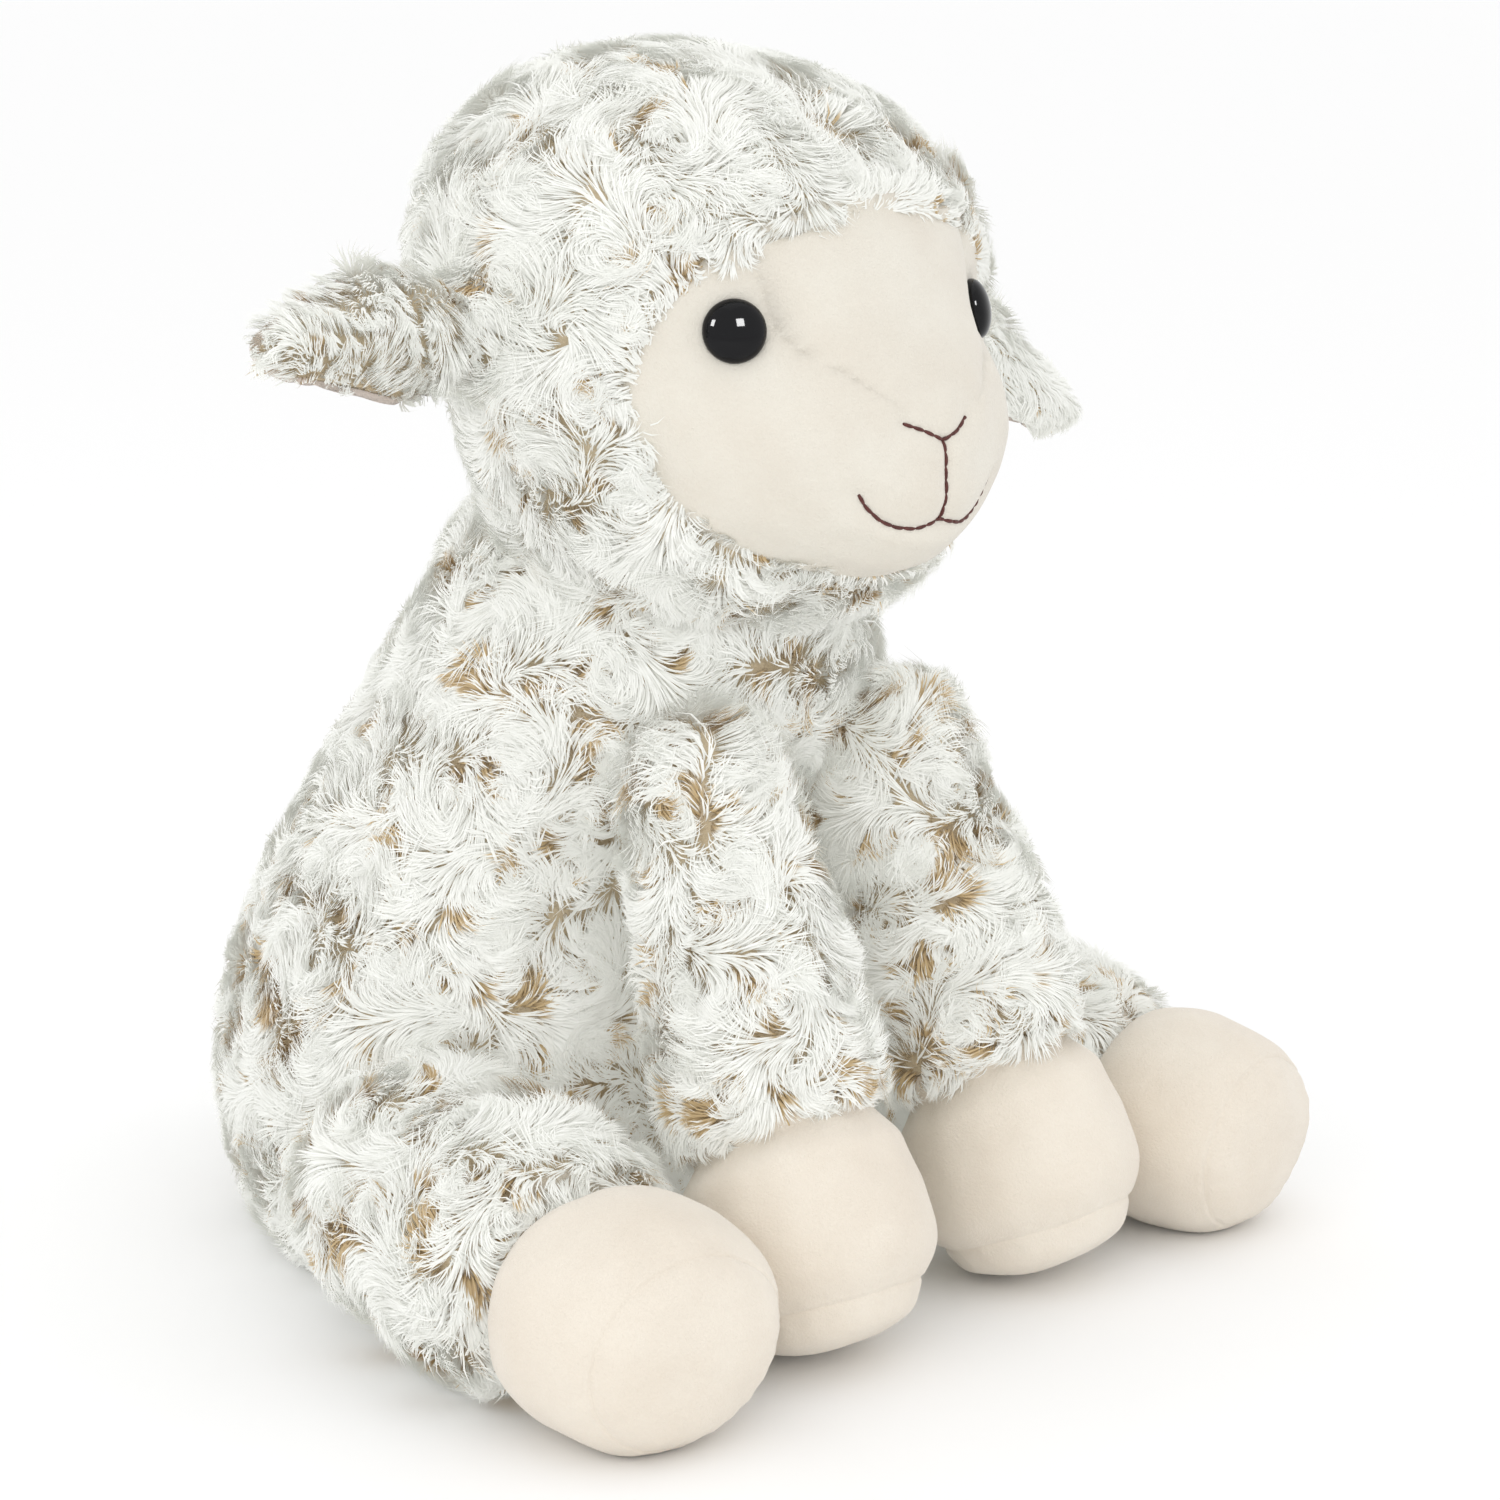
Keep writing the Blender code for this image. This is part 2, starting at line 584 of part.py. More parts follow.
# Ears
def ear_section(share_along, half, full):
    """Rings of one cross-section of the ear: fur in front, lining behind."""
    across = np.linspace(-1.0, 1.0, EAR_STEPS)
    along = np.full(EAR_STEPS, EAR_LENGTH * share_along)
    up = half * across - EAR_SAG * share_along ** 2
    cup = -EAR_CUP * across ** 2
    middle = 1 - across ** 2
    pile = EAR_FUR * full * (EAR_EDGE_SHARE + np.sqrt(middle))
    lining = EAR_LINING * (EAR_LINING_EDGE_SHARE + (1 - EAR_LINING_EDGE_SHARE) * middle)
    front = np.stack([along, pile + cup, up], axis=1)
    seam_front = np.stack([along, cup + GAP / 2, up], axis=1)
    seam_back = np.stack([along, cup - GAP / 2, up], axis=1)
    back = np.stack([along, cup - GAP / 2 - lining, up], axis=1)
    fur = np.concatenate([front, seam_front[::-1]])
    skin = np.concatenate([seam_back, back[::-1]])
    return fur * (1, -1, 1), skin * (1, -1, 1)


def place_ear(rings, side):
    """Set ear points from the ear's own axes onto one side of the head."""
    droop = EAR_DROOP_LEFT if side > 0 else EAR_DROOP_RIGHT
    turn = np.array(Matrix.Rotation(math.radians(EAR_SWEEP), 3, "Z")
                    @ Matrix.Rotation(math.radians(droop), 3, "Y")
                    @ Matrix.Rotation(math.radians(-EAR_ROLL), 3, "X"))
    mirror = np.array([side, 1, 1])
    return [(ring @ turn.T) * mirror + ear_centre(side) for ring in rings]


def make_ear(side):
    label = "left" if side > 0 else "right"
    sections = [ear_section(s, EAR_WIDTH / 2 * w, f)
                for s, w, f in zip(EAR_LENGTH_SHARES, EAR_WIDTH_SHARES, EAR_FULL_SHARES)]
    tip_fur, tip_skin = ear_section(1.0, 0.0, 0.0)
    fur_rings = place_ear([pair[0] for pair in sections] + [tip_fur[:1]], side)
    lined = [pair[1] for pair, along in zip(sections, EAR_LENGTH_SHARES) if along > EAR_BARE_SHARE]
    skin_rings = place_ear(lined + [tip_skin[-1:]], side)
    fur = solid("ear_fur_" + label, fur_rings)
    combine(fur, ball("ear_root", ear_centre(side), EAR_BALL), "UNION")
    lining = solid("ear_lining_" + label, skin_rings)
    return fur, lining


# Legs
class Leg:
    """Sizes of one kind of leg, and its outlines along its own axis."""

    def __init__(self, kind, joint, direction, seat, girth, girth_shares, sleeve,
                 hoof, hoof_length, sole, crown, slant, breadth):
        self.kind = kind
        self.joint = joint
        self.frame = frame_along(joint, direction)
        self.seat = seat
        self.girth = girth
        self.girth_shares = girth_shares
        self.sleeve = sleeve
        self.hoof = hoof
        self.hoof_length = hoof_length
        self.sole = sole
        self.crown = crown
        self.slant = math.tan(math.radians(slant))
        self.breadth = breadth

    def rings(self, profile):
        """Turned rings, slanted about the hem and broadened towards the hoof."""
        ends = (self.seat, self.sleeve, self.sleeve + self.hoof_length)
        turn = np.array(self.frame.to_3x3())
        centre = np.array(self.frame.translation)
        shaped = []
        for ring in turned(profile, Matrix.Identity(4)):
            x, y, run = ring.T
            near_hem = np.interp(run, ends, (0.0, 1.0, 0.0))
            near_hoof = np.interp(run, ends[:2], (0.0, 1.0))
            broad = 1 + (self.breadth - 1) * near_hoof
            local = np.stack([x * broad, y / broad, run - self.slant * y * near_hem], axis=1)
            shaped.append(local @ turn.T + centre)
        return shaped

    def seat_arc(self, inset):
        radius = self.seat - inset
        steps = INNER_QUARTER_STEPS if inset else QUARTER_STEPS
        angles = np.linspace(0.0, math.pi / 2, steps)
        return [(radius * math.sin(a), -radius * math.cos(a)) for a in angles]

    def sleeve_run(self, inset):
        return [(self.girth * g - inset, self.sleeve * s)
                for s, g in zip(SLEEVE_RUN_SHARES, self.girth_shares)]

    def hoof_run(self, inset):
        top = self.girth * self.girth_shares[-1] - FUR + VELBOA
        rows = []
        for s, swell in zip(HOOF_RUN_SHARES, HOOF_SWELL_SHARES):
            line = top + (self.sole - top) * s
            radius = line + (self.hoof - line) * swell - inset
            rows.append((radius, self.sleeve + GAP + self.hoof_length * s))
        return rows

    def sole_run(self, inset):
        start = self.sleeve + GAP + self.hoof_length
        return [(self.sole * r - inset, start + self.crown * s - inset)
                for s, r in zip(SOLE_RUN_SHARES, SOLE_RADIUS_SHARES)]

    def tip(self, inset):
        return self.sleeve + GAP + self.hoof_length + self.crown - inset


def front_leg():
    tilt = math.radians(FRONT_TILT)
    toe = math.radians(FRONT_TOE_OUT)
    straight = math.cos(toe)
    return Leg(
        kind="front",
        joint=forward_point(SHOULDER_SIDE, SHOULDER_FORWARD, SHOULDER_HEIGHT),
        direction=forward_point(math.sin(toe), math.sin(tilt) * straight, -math.cos(tilt) * straight),
        seat=FRONT_BALL, girth=FRONT_GIRTH, girth_shares=FRONT_GIRTH_SHARES, sleeve=FRONT_SLEEVE,
        hoof=FRONT_HOOF_RADIUS, hoof_length=FRONT_HOOF_LENGTH, sole=FRONT_SOLE_RADIUS,
        crown=FRONT_SOLE_CROWN, slant=FRONT_HEM_SLANT, breadth=FRONT_BREADTH_SHARE)


def hind_leg():
    drop = math.radians(HIND_DROP)
    splay = math.radians(HIND_SPLAY)
    level = math.cos(drop)
    return Leg(
        kind="hind",
        joint=forward_point(HIP_SIDE, HIP_FORWARD, HIP_HEIGHT),
        direction=forward_point(math.sin(splay) * level, math.cos(splay) * level, -math.sin(drop)),
        seat=HIND_BALL, girth=HIND_GIRTH, girth_shares=HIND_GIRTH_SHARES, sleeve=HIND_SLEEVE,
        hoof=HIND_HOOF_RADIUS, hoof_length=HIND_HOOF_LENGTH, sole=HIND_SOLE_RADIUS,
        crown=HIND_SOLE_CROWN, slant=HIND_HEM_SLANT, breadth=HIND_BREADTH_SHARE)


def make_leg(leg):
    """Fur sleeve, hoof wall, sole and filling of one left leg."""
    outer = leg.seat_arc(0.0) + leg.sleeve_run(0.0)
    inner = leg.seat_arc(FUR) + leg.sleeve_run(FUR)[INNER_ROWS]
    sleeve = solid(leg.kind + "_leg_fur_left", leg.rings(outer + inner[::-1]))
    wall = leg.hoof_run(0.0) + leg.hoof_run(VELBOA)[::-1]
    hoof = solid(leg.kind + "_hoof_left", leg.rings(wall), loop=True)
    edge = leg.hoof_length + leg.sleeve + GAP + GAP
    cap = [(leg.sole, edge)] + [(r, z + GAP) for r, z in leg.sole_run(0.0)[1:]]
    cap.append((0.0, leg.tip(0.0) + GAP))
    under = [(leg.sole - VELBOA, edge)] + [(r, z + GAP) for r, z in leg.sole_run(VELBOA)[1:]]
    under.append((0.0, leg.tip(VELBOA) + GAP))
    sole = solid(leg.kind + "_sole_left", leg.rings(under[::-1] + cap))
    inset = VELBOA + GAP
    fill = leg.seat_arc(FUR + GAP) + leg.sleeve_run(FUR + GAP)[INNER_ROWS]
    fill += leg.hoof_run(inset)[1:] + leg.sole_run(inset)[1:] + [(0.0, leg.tip(inset))]
    filling = solid(leg.kind + "_leg_filling_left", leg.rings(fill))
    return sleeve, hoof, sole, filling


def floor_block():
    """Everything under the plane that the sheep sits on."""
    size = 2 * (TORSO_WIDTH + TORSO_HEIGHT)
    frame = frame_along((0.0, 0.0, -size), (0, 0, 1))
    return block("floor", frame, size, size, size)


def mirrored(piece):
    """The same piece on the sheep's right side."""
    mesh = piece.data.copy()
    made = bpy.data.objects.new(piece.name.replace("left", "right"), mesh)
    mesh.transform(Matrix.Scale(-1, 4, (1, 0, 0)))
    mesh.flip_normals()
    bpy.context.collection.objects.link(made)
    return made


def make_tail():
    drop = math.radians(TAIL_DROP)
    frame = frame_along(tail_root(), forward_point(0.0, -math.cos(drop), -math.sin(drop)))
    angles = np.linspace(0.0, math.pi / 2, QUARTER_STEPS)
    arc = [(TAIL_BALL * math.sin(a), -TAIL_BALL * math.cos(a)) for a in angles]
    run = [(TAIL_RADIUS * r, TAIL_LENGTH * s) for s, r in zip(TAIL_RUN_SHARES, TAIL_RADIUS_SHARES)]
    return solid("tail", turned(arc + run + [(0.0, TAIL_LENGTH)], frame))


def hang(pieces, name, place):
    """Parent pieces to an empty on their joint's axis, without moving them."""
    pivot = bpy.data.objects.new(name, None)
    bpy.context.collection.objects.link(pivot)
    pivot.location = place
    for piece in pieces:
        piece.data.transform(Matrix.Translation(-Vector(place)))
        piece.parent = pivot


def finish(piece, look):
    piece.data.materials.clear()
    piece.data.materials.append(look)
    piece.data.shade_smooth()
    piece.data.set_sharp_from_angle(angle=math.radians(SHARP_ANGLE))


def main():
    clear_scene()
    looks = {
        "fur": material("curly_fur", (0.80, 0.77, 0.70), 0.95, 0.4),
        "velboa": material("cream_velboa", (0.87, 0.77, 0.66), 0.85, 0.3),
        "filling": material("polyester_filling", (0.93, 0.93, 0.92), 1.0),
        "bag": material("pellet_bag_cloth", (0.82, 0.82, 0.80), 0.9),
        "eye": material("black_eye_plastic", (0.012, 0.012, 0.014), 0.08),
        "washer": material("white_washer_plastic", (0.85, 0.85, 0.85), 0.5),
    }
    torso_fur, torso_filling, bag = make_torso()
    tail = make_tail()
    hood = make_hood()
    gusset, cheek = make_face_panels()
    head_filling = make_head_filling()
    eye, washer = make_eye()
    for cutter in (eye_hole(), eye_seat()):
        combine(cheek, cutter, "DIFFERENCE")
    seat = eye_seat()
    for cutter in (mirrored(seat), seat):
        combine(gusset, cutter, "DIFFERENCE")
    for piece in (hood, head_filling):
        combine(piece, below_neck(GAP / 2), "DIFFERENCE")
        for side in (1, -1):
            combine(piece, ball("seat", ear_centre(side), EAR_BALL + GAP, outside=True), "DIFFERENCE")
    socket = eye_socket()
    for cutter in (mirrored(socket), socket):
        combine(head_filling, cutter, "DIFFERENCE")
    ears = {side: make_ear(side) for side in (1, -1)}

    legs = {}
    for leg in (front_leg(), hind_leg()):
        pieces = make_leg(leg)
        for piece in pieces[:3]:
            combine(piece, floor_block(), "DIFFERENCE")
        legs[leg.kind, 1] = leg.joint, pieces
        legs[leg.kind, -1] = leg.joint * (-1, 1, 1), [mirrored(piece) for piece in pieces]

    for piece in (torso_fur, hood, tail, ears[1][0], ears[-1][0]):
        finish(piece, looks["fur"])
    cheek_right, eye_right, washer_right = (mirrored(piece) for piece in (cheek, eye, washer))
    for piece in (gusset, cheek, cheek_right, ears[1][1], ears[-1][1]):
        finish(piece, looks["velboa"])
    for piece in (torso_filling, head_filling):
        finish(piece, looks["filling"])
    finish(bag, looks["bag"])
    for piece in (eye, eye_right):
        finish(piece, looks["eye"])
    for piece in (washer, washer_right):
        finish(piece, looks["washer"])
    for joint, (sleeve, hoof, sole, filling) in legs.values():
        finish(sleeve, looks["fur"])
        finish(hoof, looks["velboa"])
        finish(sole, looks["velboa"])
        finish(filling, looks["filling"])

    seam = forward_point(0.0, NECK_SEAM_FORWARD, NECK_SEAM_HEIGHT)
    hang((torso_fur, torso_filling, bag), "torso_root", (0.0, 0.0, 0.0))
    hang((hood, gusset, cheek, cheek_right, head_filling, eye, eye_right, washer, washer_right),
         "head_pivot", seam)
    hang((tail,), "tail_pivot", tail_root())
    for side, label in ((1, "left"), (-1, "right")):
        hang(ears[side], "ear_pivot_" + label, ear_centre(side))
        for kind in ("front", "hind"):
            joint, pieces = legs[kind, side]
            hang(pieces, kind + "_leg_pivot_" + label, joint)


main()
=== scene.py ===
# %% [markdown]
# # Dressing a plush sheep
#
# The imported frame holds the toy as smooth, bald bodies: a pear-shaped torso, a
# hooded head, two ears, four legs and a tail, each on its hinge.  This lesson
# gives every body its fabric.  The face and the hooves are velboa, a short pile
# that looks like suede.  All the rest is curly fur, made strand by strand, since
# its swirls and the tan roots between them are the whole look of this toy.

# %% The frame and its box
import itertools
import json
import math

import bpy
import numpy as np
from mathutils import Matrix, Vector
from numpy.linalg import norm, svd


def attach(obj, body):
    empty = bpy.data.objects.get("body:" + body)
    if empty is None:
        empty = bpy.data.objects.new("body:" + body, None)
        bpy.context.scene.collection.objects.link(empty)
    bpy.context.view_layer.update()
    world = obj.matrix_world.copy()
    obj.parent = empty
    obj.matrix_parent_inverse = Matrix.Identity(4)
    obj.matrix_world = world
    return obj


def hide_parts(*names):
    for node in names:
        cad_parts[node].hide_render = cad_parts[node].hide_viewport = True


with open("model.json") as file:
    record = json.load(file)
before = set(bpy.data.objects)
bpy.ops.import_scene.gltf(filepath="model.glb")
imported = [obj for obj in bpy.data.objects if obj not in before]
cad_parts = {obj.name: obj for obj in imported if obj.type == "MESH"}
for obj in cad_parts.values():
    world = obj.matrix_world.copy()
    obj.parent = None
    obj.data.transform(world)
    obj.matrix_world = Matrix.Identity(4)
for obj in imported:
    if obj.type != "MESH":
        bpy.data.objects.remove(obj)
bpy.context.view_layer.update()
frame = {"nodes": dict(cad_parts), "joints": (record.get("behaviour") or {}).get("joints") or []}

MM = 0.001

# %% [markdown]
# ## Camera
#
# The toy was photographed from its front right, from a little above its head
# and from under a metre away.  A long lens keeps its proportions calm.

# %% Camera
CAMERA_PLACE = (-0.6582, -0.6608, 0.313)
CAMERA_TILT = 78.6            # degrees up from straight down
CAMERA_HEADING = -47.0        # degrees from +Y towards +X
CAMERA_LENS = 89.64

camera = bpy.data.objects.new("photo_camera", bpy.data.cameras.new("photo_camera"))
bpy.context.collection.objects.link(camera)
camera.location = CAMERA_PLACE
camera.rotation_euler = (math.radians(CAMERA_TILT), 0.0, math.radians(CAMERA_HEADING))
camera.data.lens = CAMERA_LENS
camera.data.sensor_width = 36.0
camera.data.clip_start = 0.01
bpy.context.scene.camera = camera
print("camera", round(Vector(CAMERA_PLACE).xy.length, 3), "m from the toy's middle")

# %% [markdown]
# ## Light
#
# White fur needs very soft light, or its strands turn into noise.  The room is
# a bright even world, and one wide lamp stands beside the camera, since light
# from there reaches into the hollows that the camera sees.  Two small square
# softboxes only light glossy things: they are the two little windows in each eye.

# %% Softboxes, world and floor
SOFTBOX_REACH = 1.35          # from the toy's head
SOFTBOX_SIZE = 0.33
SOFTBOXES = (("softbox_left", -24.0, 27.0), ("softbox_right", 46.0, 27.0))
SOFTBOX_POWER = 16.0
FILL_PLACE = (8.0, 18.0, 1.5)  # degrees off the camera, degrees up, metres away
FILL_SIZE, FILL_POWER = 0.9, 2.6
TOP_LIGHT_HEIGHT = 1.6
TOP_LIGHT_SIZE, TOP_LIGHT_POWER = 1.2, 1.0
HEAD_HEIGHT = 0.24
WORLD_STRENGTH = 1.02
FLOOR_SIZE = 1600.0


def aim_light(name, place, target, size, power):
    """A square area light at a place, turned to face a target."""
    light = bpy.data.lights.new(name, "AREA")
    light.shape = "SQUARE"
    light.size = size
    light.energy = power
    lamp = bpy.data.objects.new(name, light)
    bpy.context.collection.objects.link(lamp)
    lamp.location = place
    lamp.rotation_euler = (Vector(target) - Vector(place)).to_track_quat("-Z", "Y").to_euler()
    return lamp


def beside_camera(off_camera, lift, reach):
    """A place at a reach from the head, turned off the camera's heading and lifted, in degrees."""
    heading, lift = math.radians(CAMERA_HEADING - off_camera), math.radians(lift)
    level = reach * math.cos(lift)
    return level * math.sin(heading), -level * math.cos(heading), HEAD_HEIGHT + reach * math.sin(lift)


head_target = (0.0, 0.0, HEAD_HEIGHT)
for name, off_camera, lift in SOFTBOXES:
    place = beside_camera(off_camera, lift, SOFTBOX_REACH)
    box = aim_light(name, place, head_target, SOFTBOX_SIZE, SOFTBOX_POWER)
    box.visible_diffuse = False
fill = aim_light("fill", beside_camera(*FILL_PLACE), head_target, FILL_SIZE, FILL_POWER)
fill.visible_glossy = False
aim_light("top_light", (0.0, 0.0, TOP_LIGHT_HEIGHT), (0.0, 0.0, 0.0), TOP_LIGHT_SIZE, TOP_LIGHT_POWER)

world = bpy.data.worlds.new("studio")
world.use_nodes = True
sky = world.node_tree.nodes["Background"]
sky.inputs["Color"].default_value = (1.0, 1.0, 1.0, 1.0)
sky.inputs["Strength"].default_value = WORLD_STRENGTH
bpy.context.scene.world = world
bpy.context.scene.view_settings.view_transform = "Standard"

# %% [markdown]
# ## Materials
#
# Each finish is a Principled shader whose colour and bump come from node groups.
# A group is built once and placed in each material with its own values.


# %% Helpers that wire nodes
def feed(tree, node, **inputs):
    """Inputs for a node, by name or as _number, each a value or another node's socket."""
    for key, value in inputs.items():
        socket = node.inputs[int(key[1:])] if key[0] == "_" else node.inputs[key.replace("_", " ")]
        if isinstance(value, bpy.types.NodeSocket):
            tree.links.new(value, socket)
        else:
            socket.default_value = value


def add_node(tree, kind, settings=(), **inputs):
    """One node with its settings and its inputs."""
    node = tree.nodes.new("ShaderNode" + kind)
    for key, value in dict(settings).items():
        setattr(node, key, value)
    feed(tree, node, **inputs)
    return node


def calc(tree, operation, *values):
    """The result of a Math node over numbers or sockets."""
    inputs = {f"_{k}": value for k, value in enumerate(values)}
    return add_node(tree, "Math", {"operation": operation}, **inputs).outputs[0]


def mix(tree, factor, *ends):
    """A blend by a factor socket between two ends, each a colour or a colour socket."""
    first, last = ((*end, 1.0) if isinstance(end, tuple) else end for end in ends)
    return add_node(tree, "Mix", {"data_type": "RGBA"}, Factor=factor, A=first, B=last).outputs["Result"]


def new_group(name, inputs, outputs):
    """An empty node group with float inputs and colour or float outputs."""
    group = bpy.data.node_groups.new(name, "ShaderNodeTree")
    for label, value in inputs.items():
        made = group.interface.new_socket(name=label, in_out="INPUT", socket_type="NodeSocketFloat")
        made.default_value = value
    for label, kind in outputs.items():
        group.interface.new_socket(name=label, in_out="OUTPUT", socket_type="NodeSocket" + kind)
    return group, group.nodes.new("NodeGroupInput"), group.nodes.new("NodeGroupOutput")


def new_material(name):
    """A material, its tree and its Principled shader."""
    made = bpy.data.materials.new(name)
    made.use_nodes = True
    return made, made.node_tree, made.node_tree.nodes["Principled BSDF"]


# %% [markdown]
# ### Curly fur
#
# The fibres are dyed tan at the root and bleached white at the tip.  Every strand
# carries a narrow slice of one shared chart: across it runs how far up the tan
# reaches, and up it runs the way from root to tip.  Nothing else sets the colour.

# %% Fur colour
FUR_CHART = "OFBake"


def make_fur_colour():
    """Colour over the chart: root brown, then ochre, then white, with fine streaks across."""
    group, entry, leave = new_group("fur_colour", {"Tan Low": -0.25, "Tan High": 0.70}, {"Color": "Color"})
    chart = add_node(group, "UVMap", {"uv_map": FUR_CHART})
    parts = add_node(group, "SeparateXYZ", _0=chart.outputs[0])
    across, up = parts.outputs[0], parts.outputs[1]
    place = add_node(group, "CombineXYZ", _0=calc(group, "MULTIPLY", across, 420.0),
                     _1=calc(group, "MULTIPLY", up, 2.0))
    streaks = add_node(group, "TexNoise", {"noise_dimensions": "2D"},
                       Vector=place.outputs[0], Scale=1.0, Detail=2.0).outputs[0]
    edge = add_node(group, "MapRange", _0=across, _3=entry.outputs["Tan Low"],
                    _4=entry.outputs["Tan High"])
    past = calc(group, "SUBTRACT", up, calc(group, "MULTIPLY_ADD", streaks, 0.14, edge.outputs[0]))
    bleached, deep = (
        add_node(group, "MapRange", {"interpolation_type": "SMOOTHSTEP"},
                 _0=way, _1=low, _2=high).outputs[0]
        for way, low, high in ((past, -0.02, 0.20), (up, 0.02, 0.34)))
    ochre = mix(group, streaks, (0.360, 0.250, 0.115), (0.700, 0.545, 0.320))
    tan = mix(group, deep, (0.230, 0.150, 0.070), ochre)
    white = mix(group, streaks, (0.802, 0.807, 0.765), (0.862, 0.867, 0.838))
    feed(group, leave, Color=mix(group, bleached, tan, white))
    return group


fur_strands, tree, shader = new_material("curly_fur_strands")
fur_shade = add_node(tree, "Group", {"node_tree": make_fur_colour()}).outputs["Color"]
# The fur's colour also feeds a weak emission: a painted glow that lifts the shade between the strands and at
# their edges.
PAINTED_FIBRE_GLOW = 0.12             # painted glow, standing in for light that wanders in clear fibres
feed(tree, shader, Base_Color=fur_shade, Emission_Color=fur_shade, Emission_Strength=PAINTED_FIBRE_GLOW,
     Roughness=0.62, Specular_IOR_Level=0.25, Sheen_Weight=0.15)
print("fur strands read", FUR_CHART)

# %% [markdown]
# ### Cloth under the fur, and velboa
#
# Where the fur parts, its woven backing shows as a tan shade.  Velboa is a warm
# cream cloth whose short nap lies in patches, so it has a soft mottle at finger
# width and a fine grain at half a millimetre.


# %% Cloth patterns
def make_nap():
    """Mottle and grain from two noises on object coordinates: a colour mask and a height."""
    group, entry, leave = new_group(
        "cloth_nap", {"Patch": 60.0, "Grain": 1400.0}, {"Mask": "Float", "Height": "Float"})
    place = add_node(group, "TexCoord").outputs["Object"]
    patches, grain, middle = (
        add_node(group, "TexNoise", Vector=place, Scale=scale, Detail=detail,
                 Roughness=roughness).outputs[0]
        for scale, detail, roughness in (
            (entry.outputs["Patch"], 3.0, 0.5), (entry.outputs["Grain"], 3.0, 0.7), (330.0, 2.0, 0.5)))
    mask = add_node(group, "MapRange", _0=calc(group, "MULTIPLY_ADD", grain, 0.45, patches),
                    _1=0.45, _2=1.0)
    feed(group, leave, Mask=mask.outputs[0], Height=calc(group, "MULTIPLY_ADD", middle, 0.5, grain))
    return group


cloth_nap = make_nap()


def cloth_material(name, dark, light, patch, grain, bump, roughness, sheen):
    """A cloth whose colour moves between two shades and whose nap stands up by a bump."""
    made, tree, shader = new_material(name)
    nap = add_node(tree, "Group", {"node_tree": cloth_nap}, Patch=patch, Grain=grain)
    feed(tree, shader, Base_Color=mix(tree, nap.outputs["Mask"], dark, light))
    relief = add_node(tree, "Bump", Strength=1.0, Distance=bump, Height=nap.outputs["Height"])
    feed(tree, shader, Normal=relief.outputs[0], Roughness=roughness, Specular_IOR_Level=0.2,
         Sheen_Weight=sheen, Sheen_Roughness=0.5)
    return made


CLOTHS = (      # name, dark and light shade, patches and grains to a metre, bump, roughness, sheen
    ("fur_backing", (0.52, 0.41, 0.26), (0.70, 0.60, 0.44), 90.0, 900.0, 0.3 * MM, 0.95, 0.1),
    ("cream_velboa", (0.735, 0.680, 0.590), (0.800, 0.765, 0.680), 45.0, 1500.0, 0.26 * MM, 0.85, 0.35),
    ("hoof_velboa", (0.775, 0.695, 0.590), (0.850, 0.785, 0.685), 45.0, 1500.0, 0.26 * MM, 0.85, 0.35),
    ("ear_velboa", (0.740, 0.625, 0.545), (0.820, 0.735, 0.660), 45.0, 1500.0, 0.22 * MM, 0.85, 0.35),
    ("maroon_thread", (0.060, 0.016, 0.014), (0.140, 0.040, 0.032), 900.0, 4200.0, 0.10 * MM, 0.55, 0.1),
    ("moulded_washer", (0.80, 0.80, 0.79), (0.88, 0.88, 0.87), 200.0, 2000.0, 0.02 * MM, 0.5, 0.0),
)
backing_cloth, velboa, hoof_velboa, ear_velboa, thread, washer_plastic = (
    cloth_material(*row) for row in CLOTHS)

# %% Eye gloss
eye_gloss, tree, shader = new_material("black_eye_gloss")
scuffs = add_node(tree, "Group", {"node_tree": cloth_nap}, Patch=240.0, Grain=2600.0)
soft = add_node(tree, "MapRange", _0=scuffs.outputs["Mask"], _3=0.030, _4=0.070)
feed(tree, shader, Roughness=soft.outputs[0], Base_Color=(0.004, 0.004, 0.005, 1.0), Specular_IOR_Level=0.22)
print("materials:", len(bpy.data.materials))

# %% [markdown]
# ## Reading a form off the frame
#
# Every stuffed body is a closed skin round a line inside it.  Rays leave that
# line in all directions, and the last wall that each ray meets is the body's
# surface.  The distances are then softened, which makes the form smooth and plump.


# %% Rays to the last wall
def node_corners(names):
    """The three corners of every triangle of some frame nodes, as three arrays."""
    found = []
    for name in names:
        mesh = frame["nodes"][name].data
        mesh.calc_loop_triangles()
        points = np.empty(len(mesh.vertices) * 3)
        mesh.vertices.foreach_get("co", points)
        index = np.empty(len(mesh.loop_triangles) * 3, int)
        mesh.loop_triangles.foreach_get("vertices", index)
        found.append(points.reshape(-1, 3)[index.reshape(-1, 3)])
    return np.concatenate(found).transpose(1, 0, 2)


def node_points(*names):
    """All the corners of some frame nodes, as one array of points."""
    return node_corners(names).reshape(-1, 3)


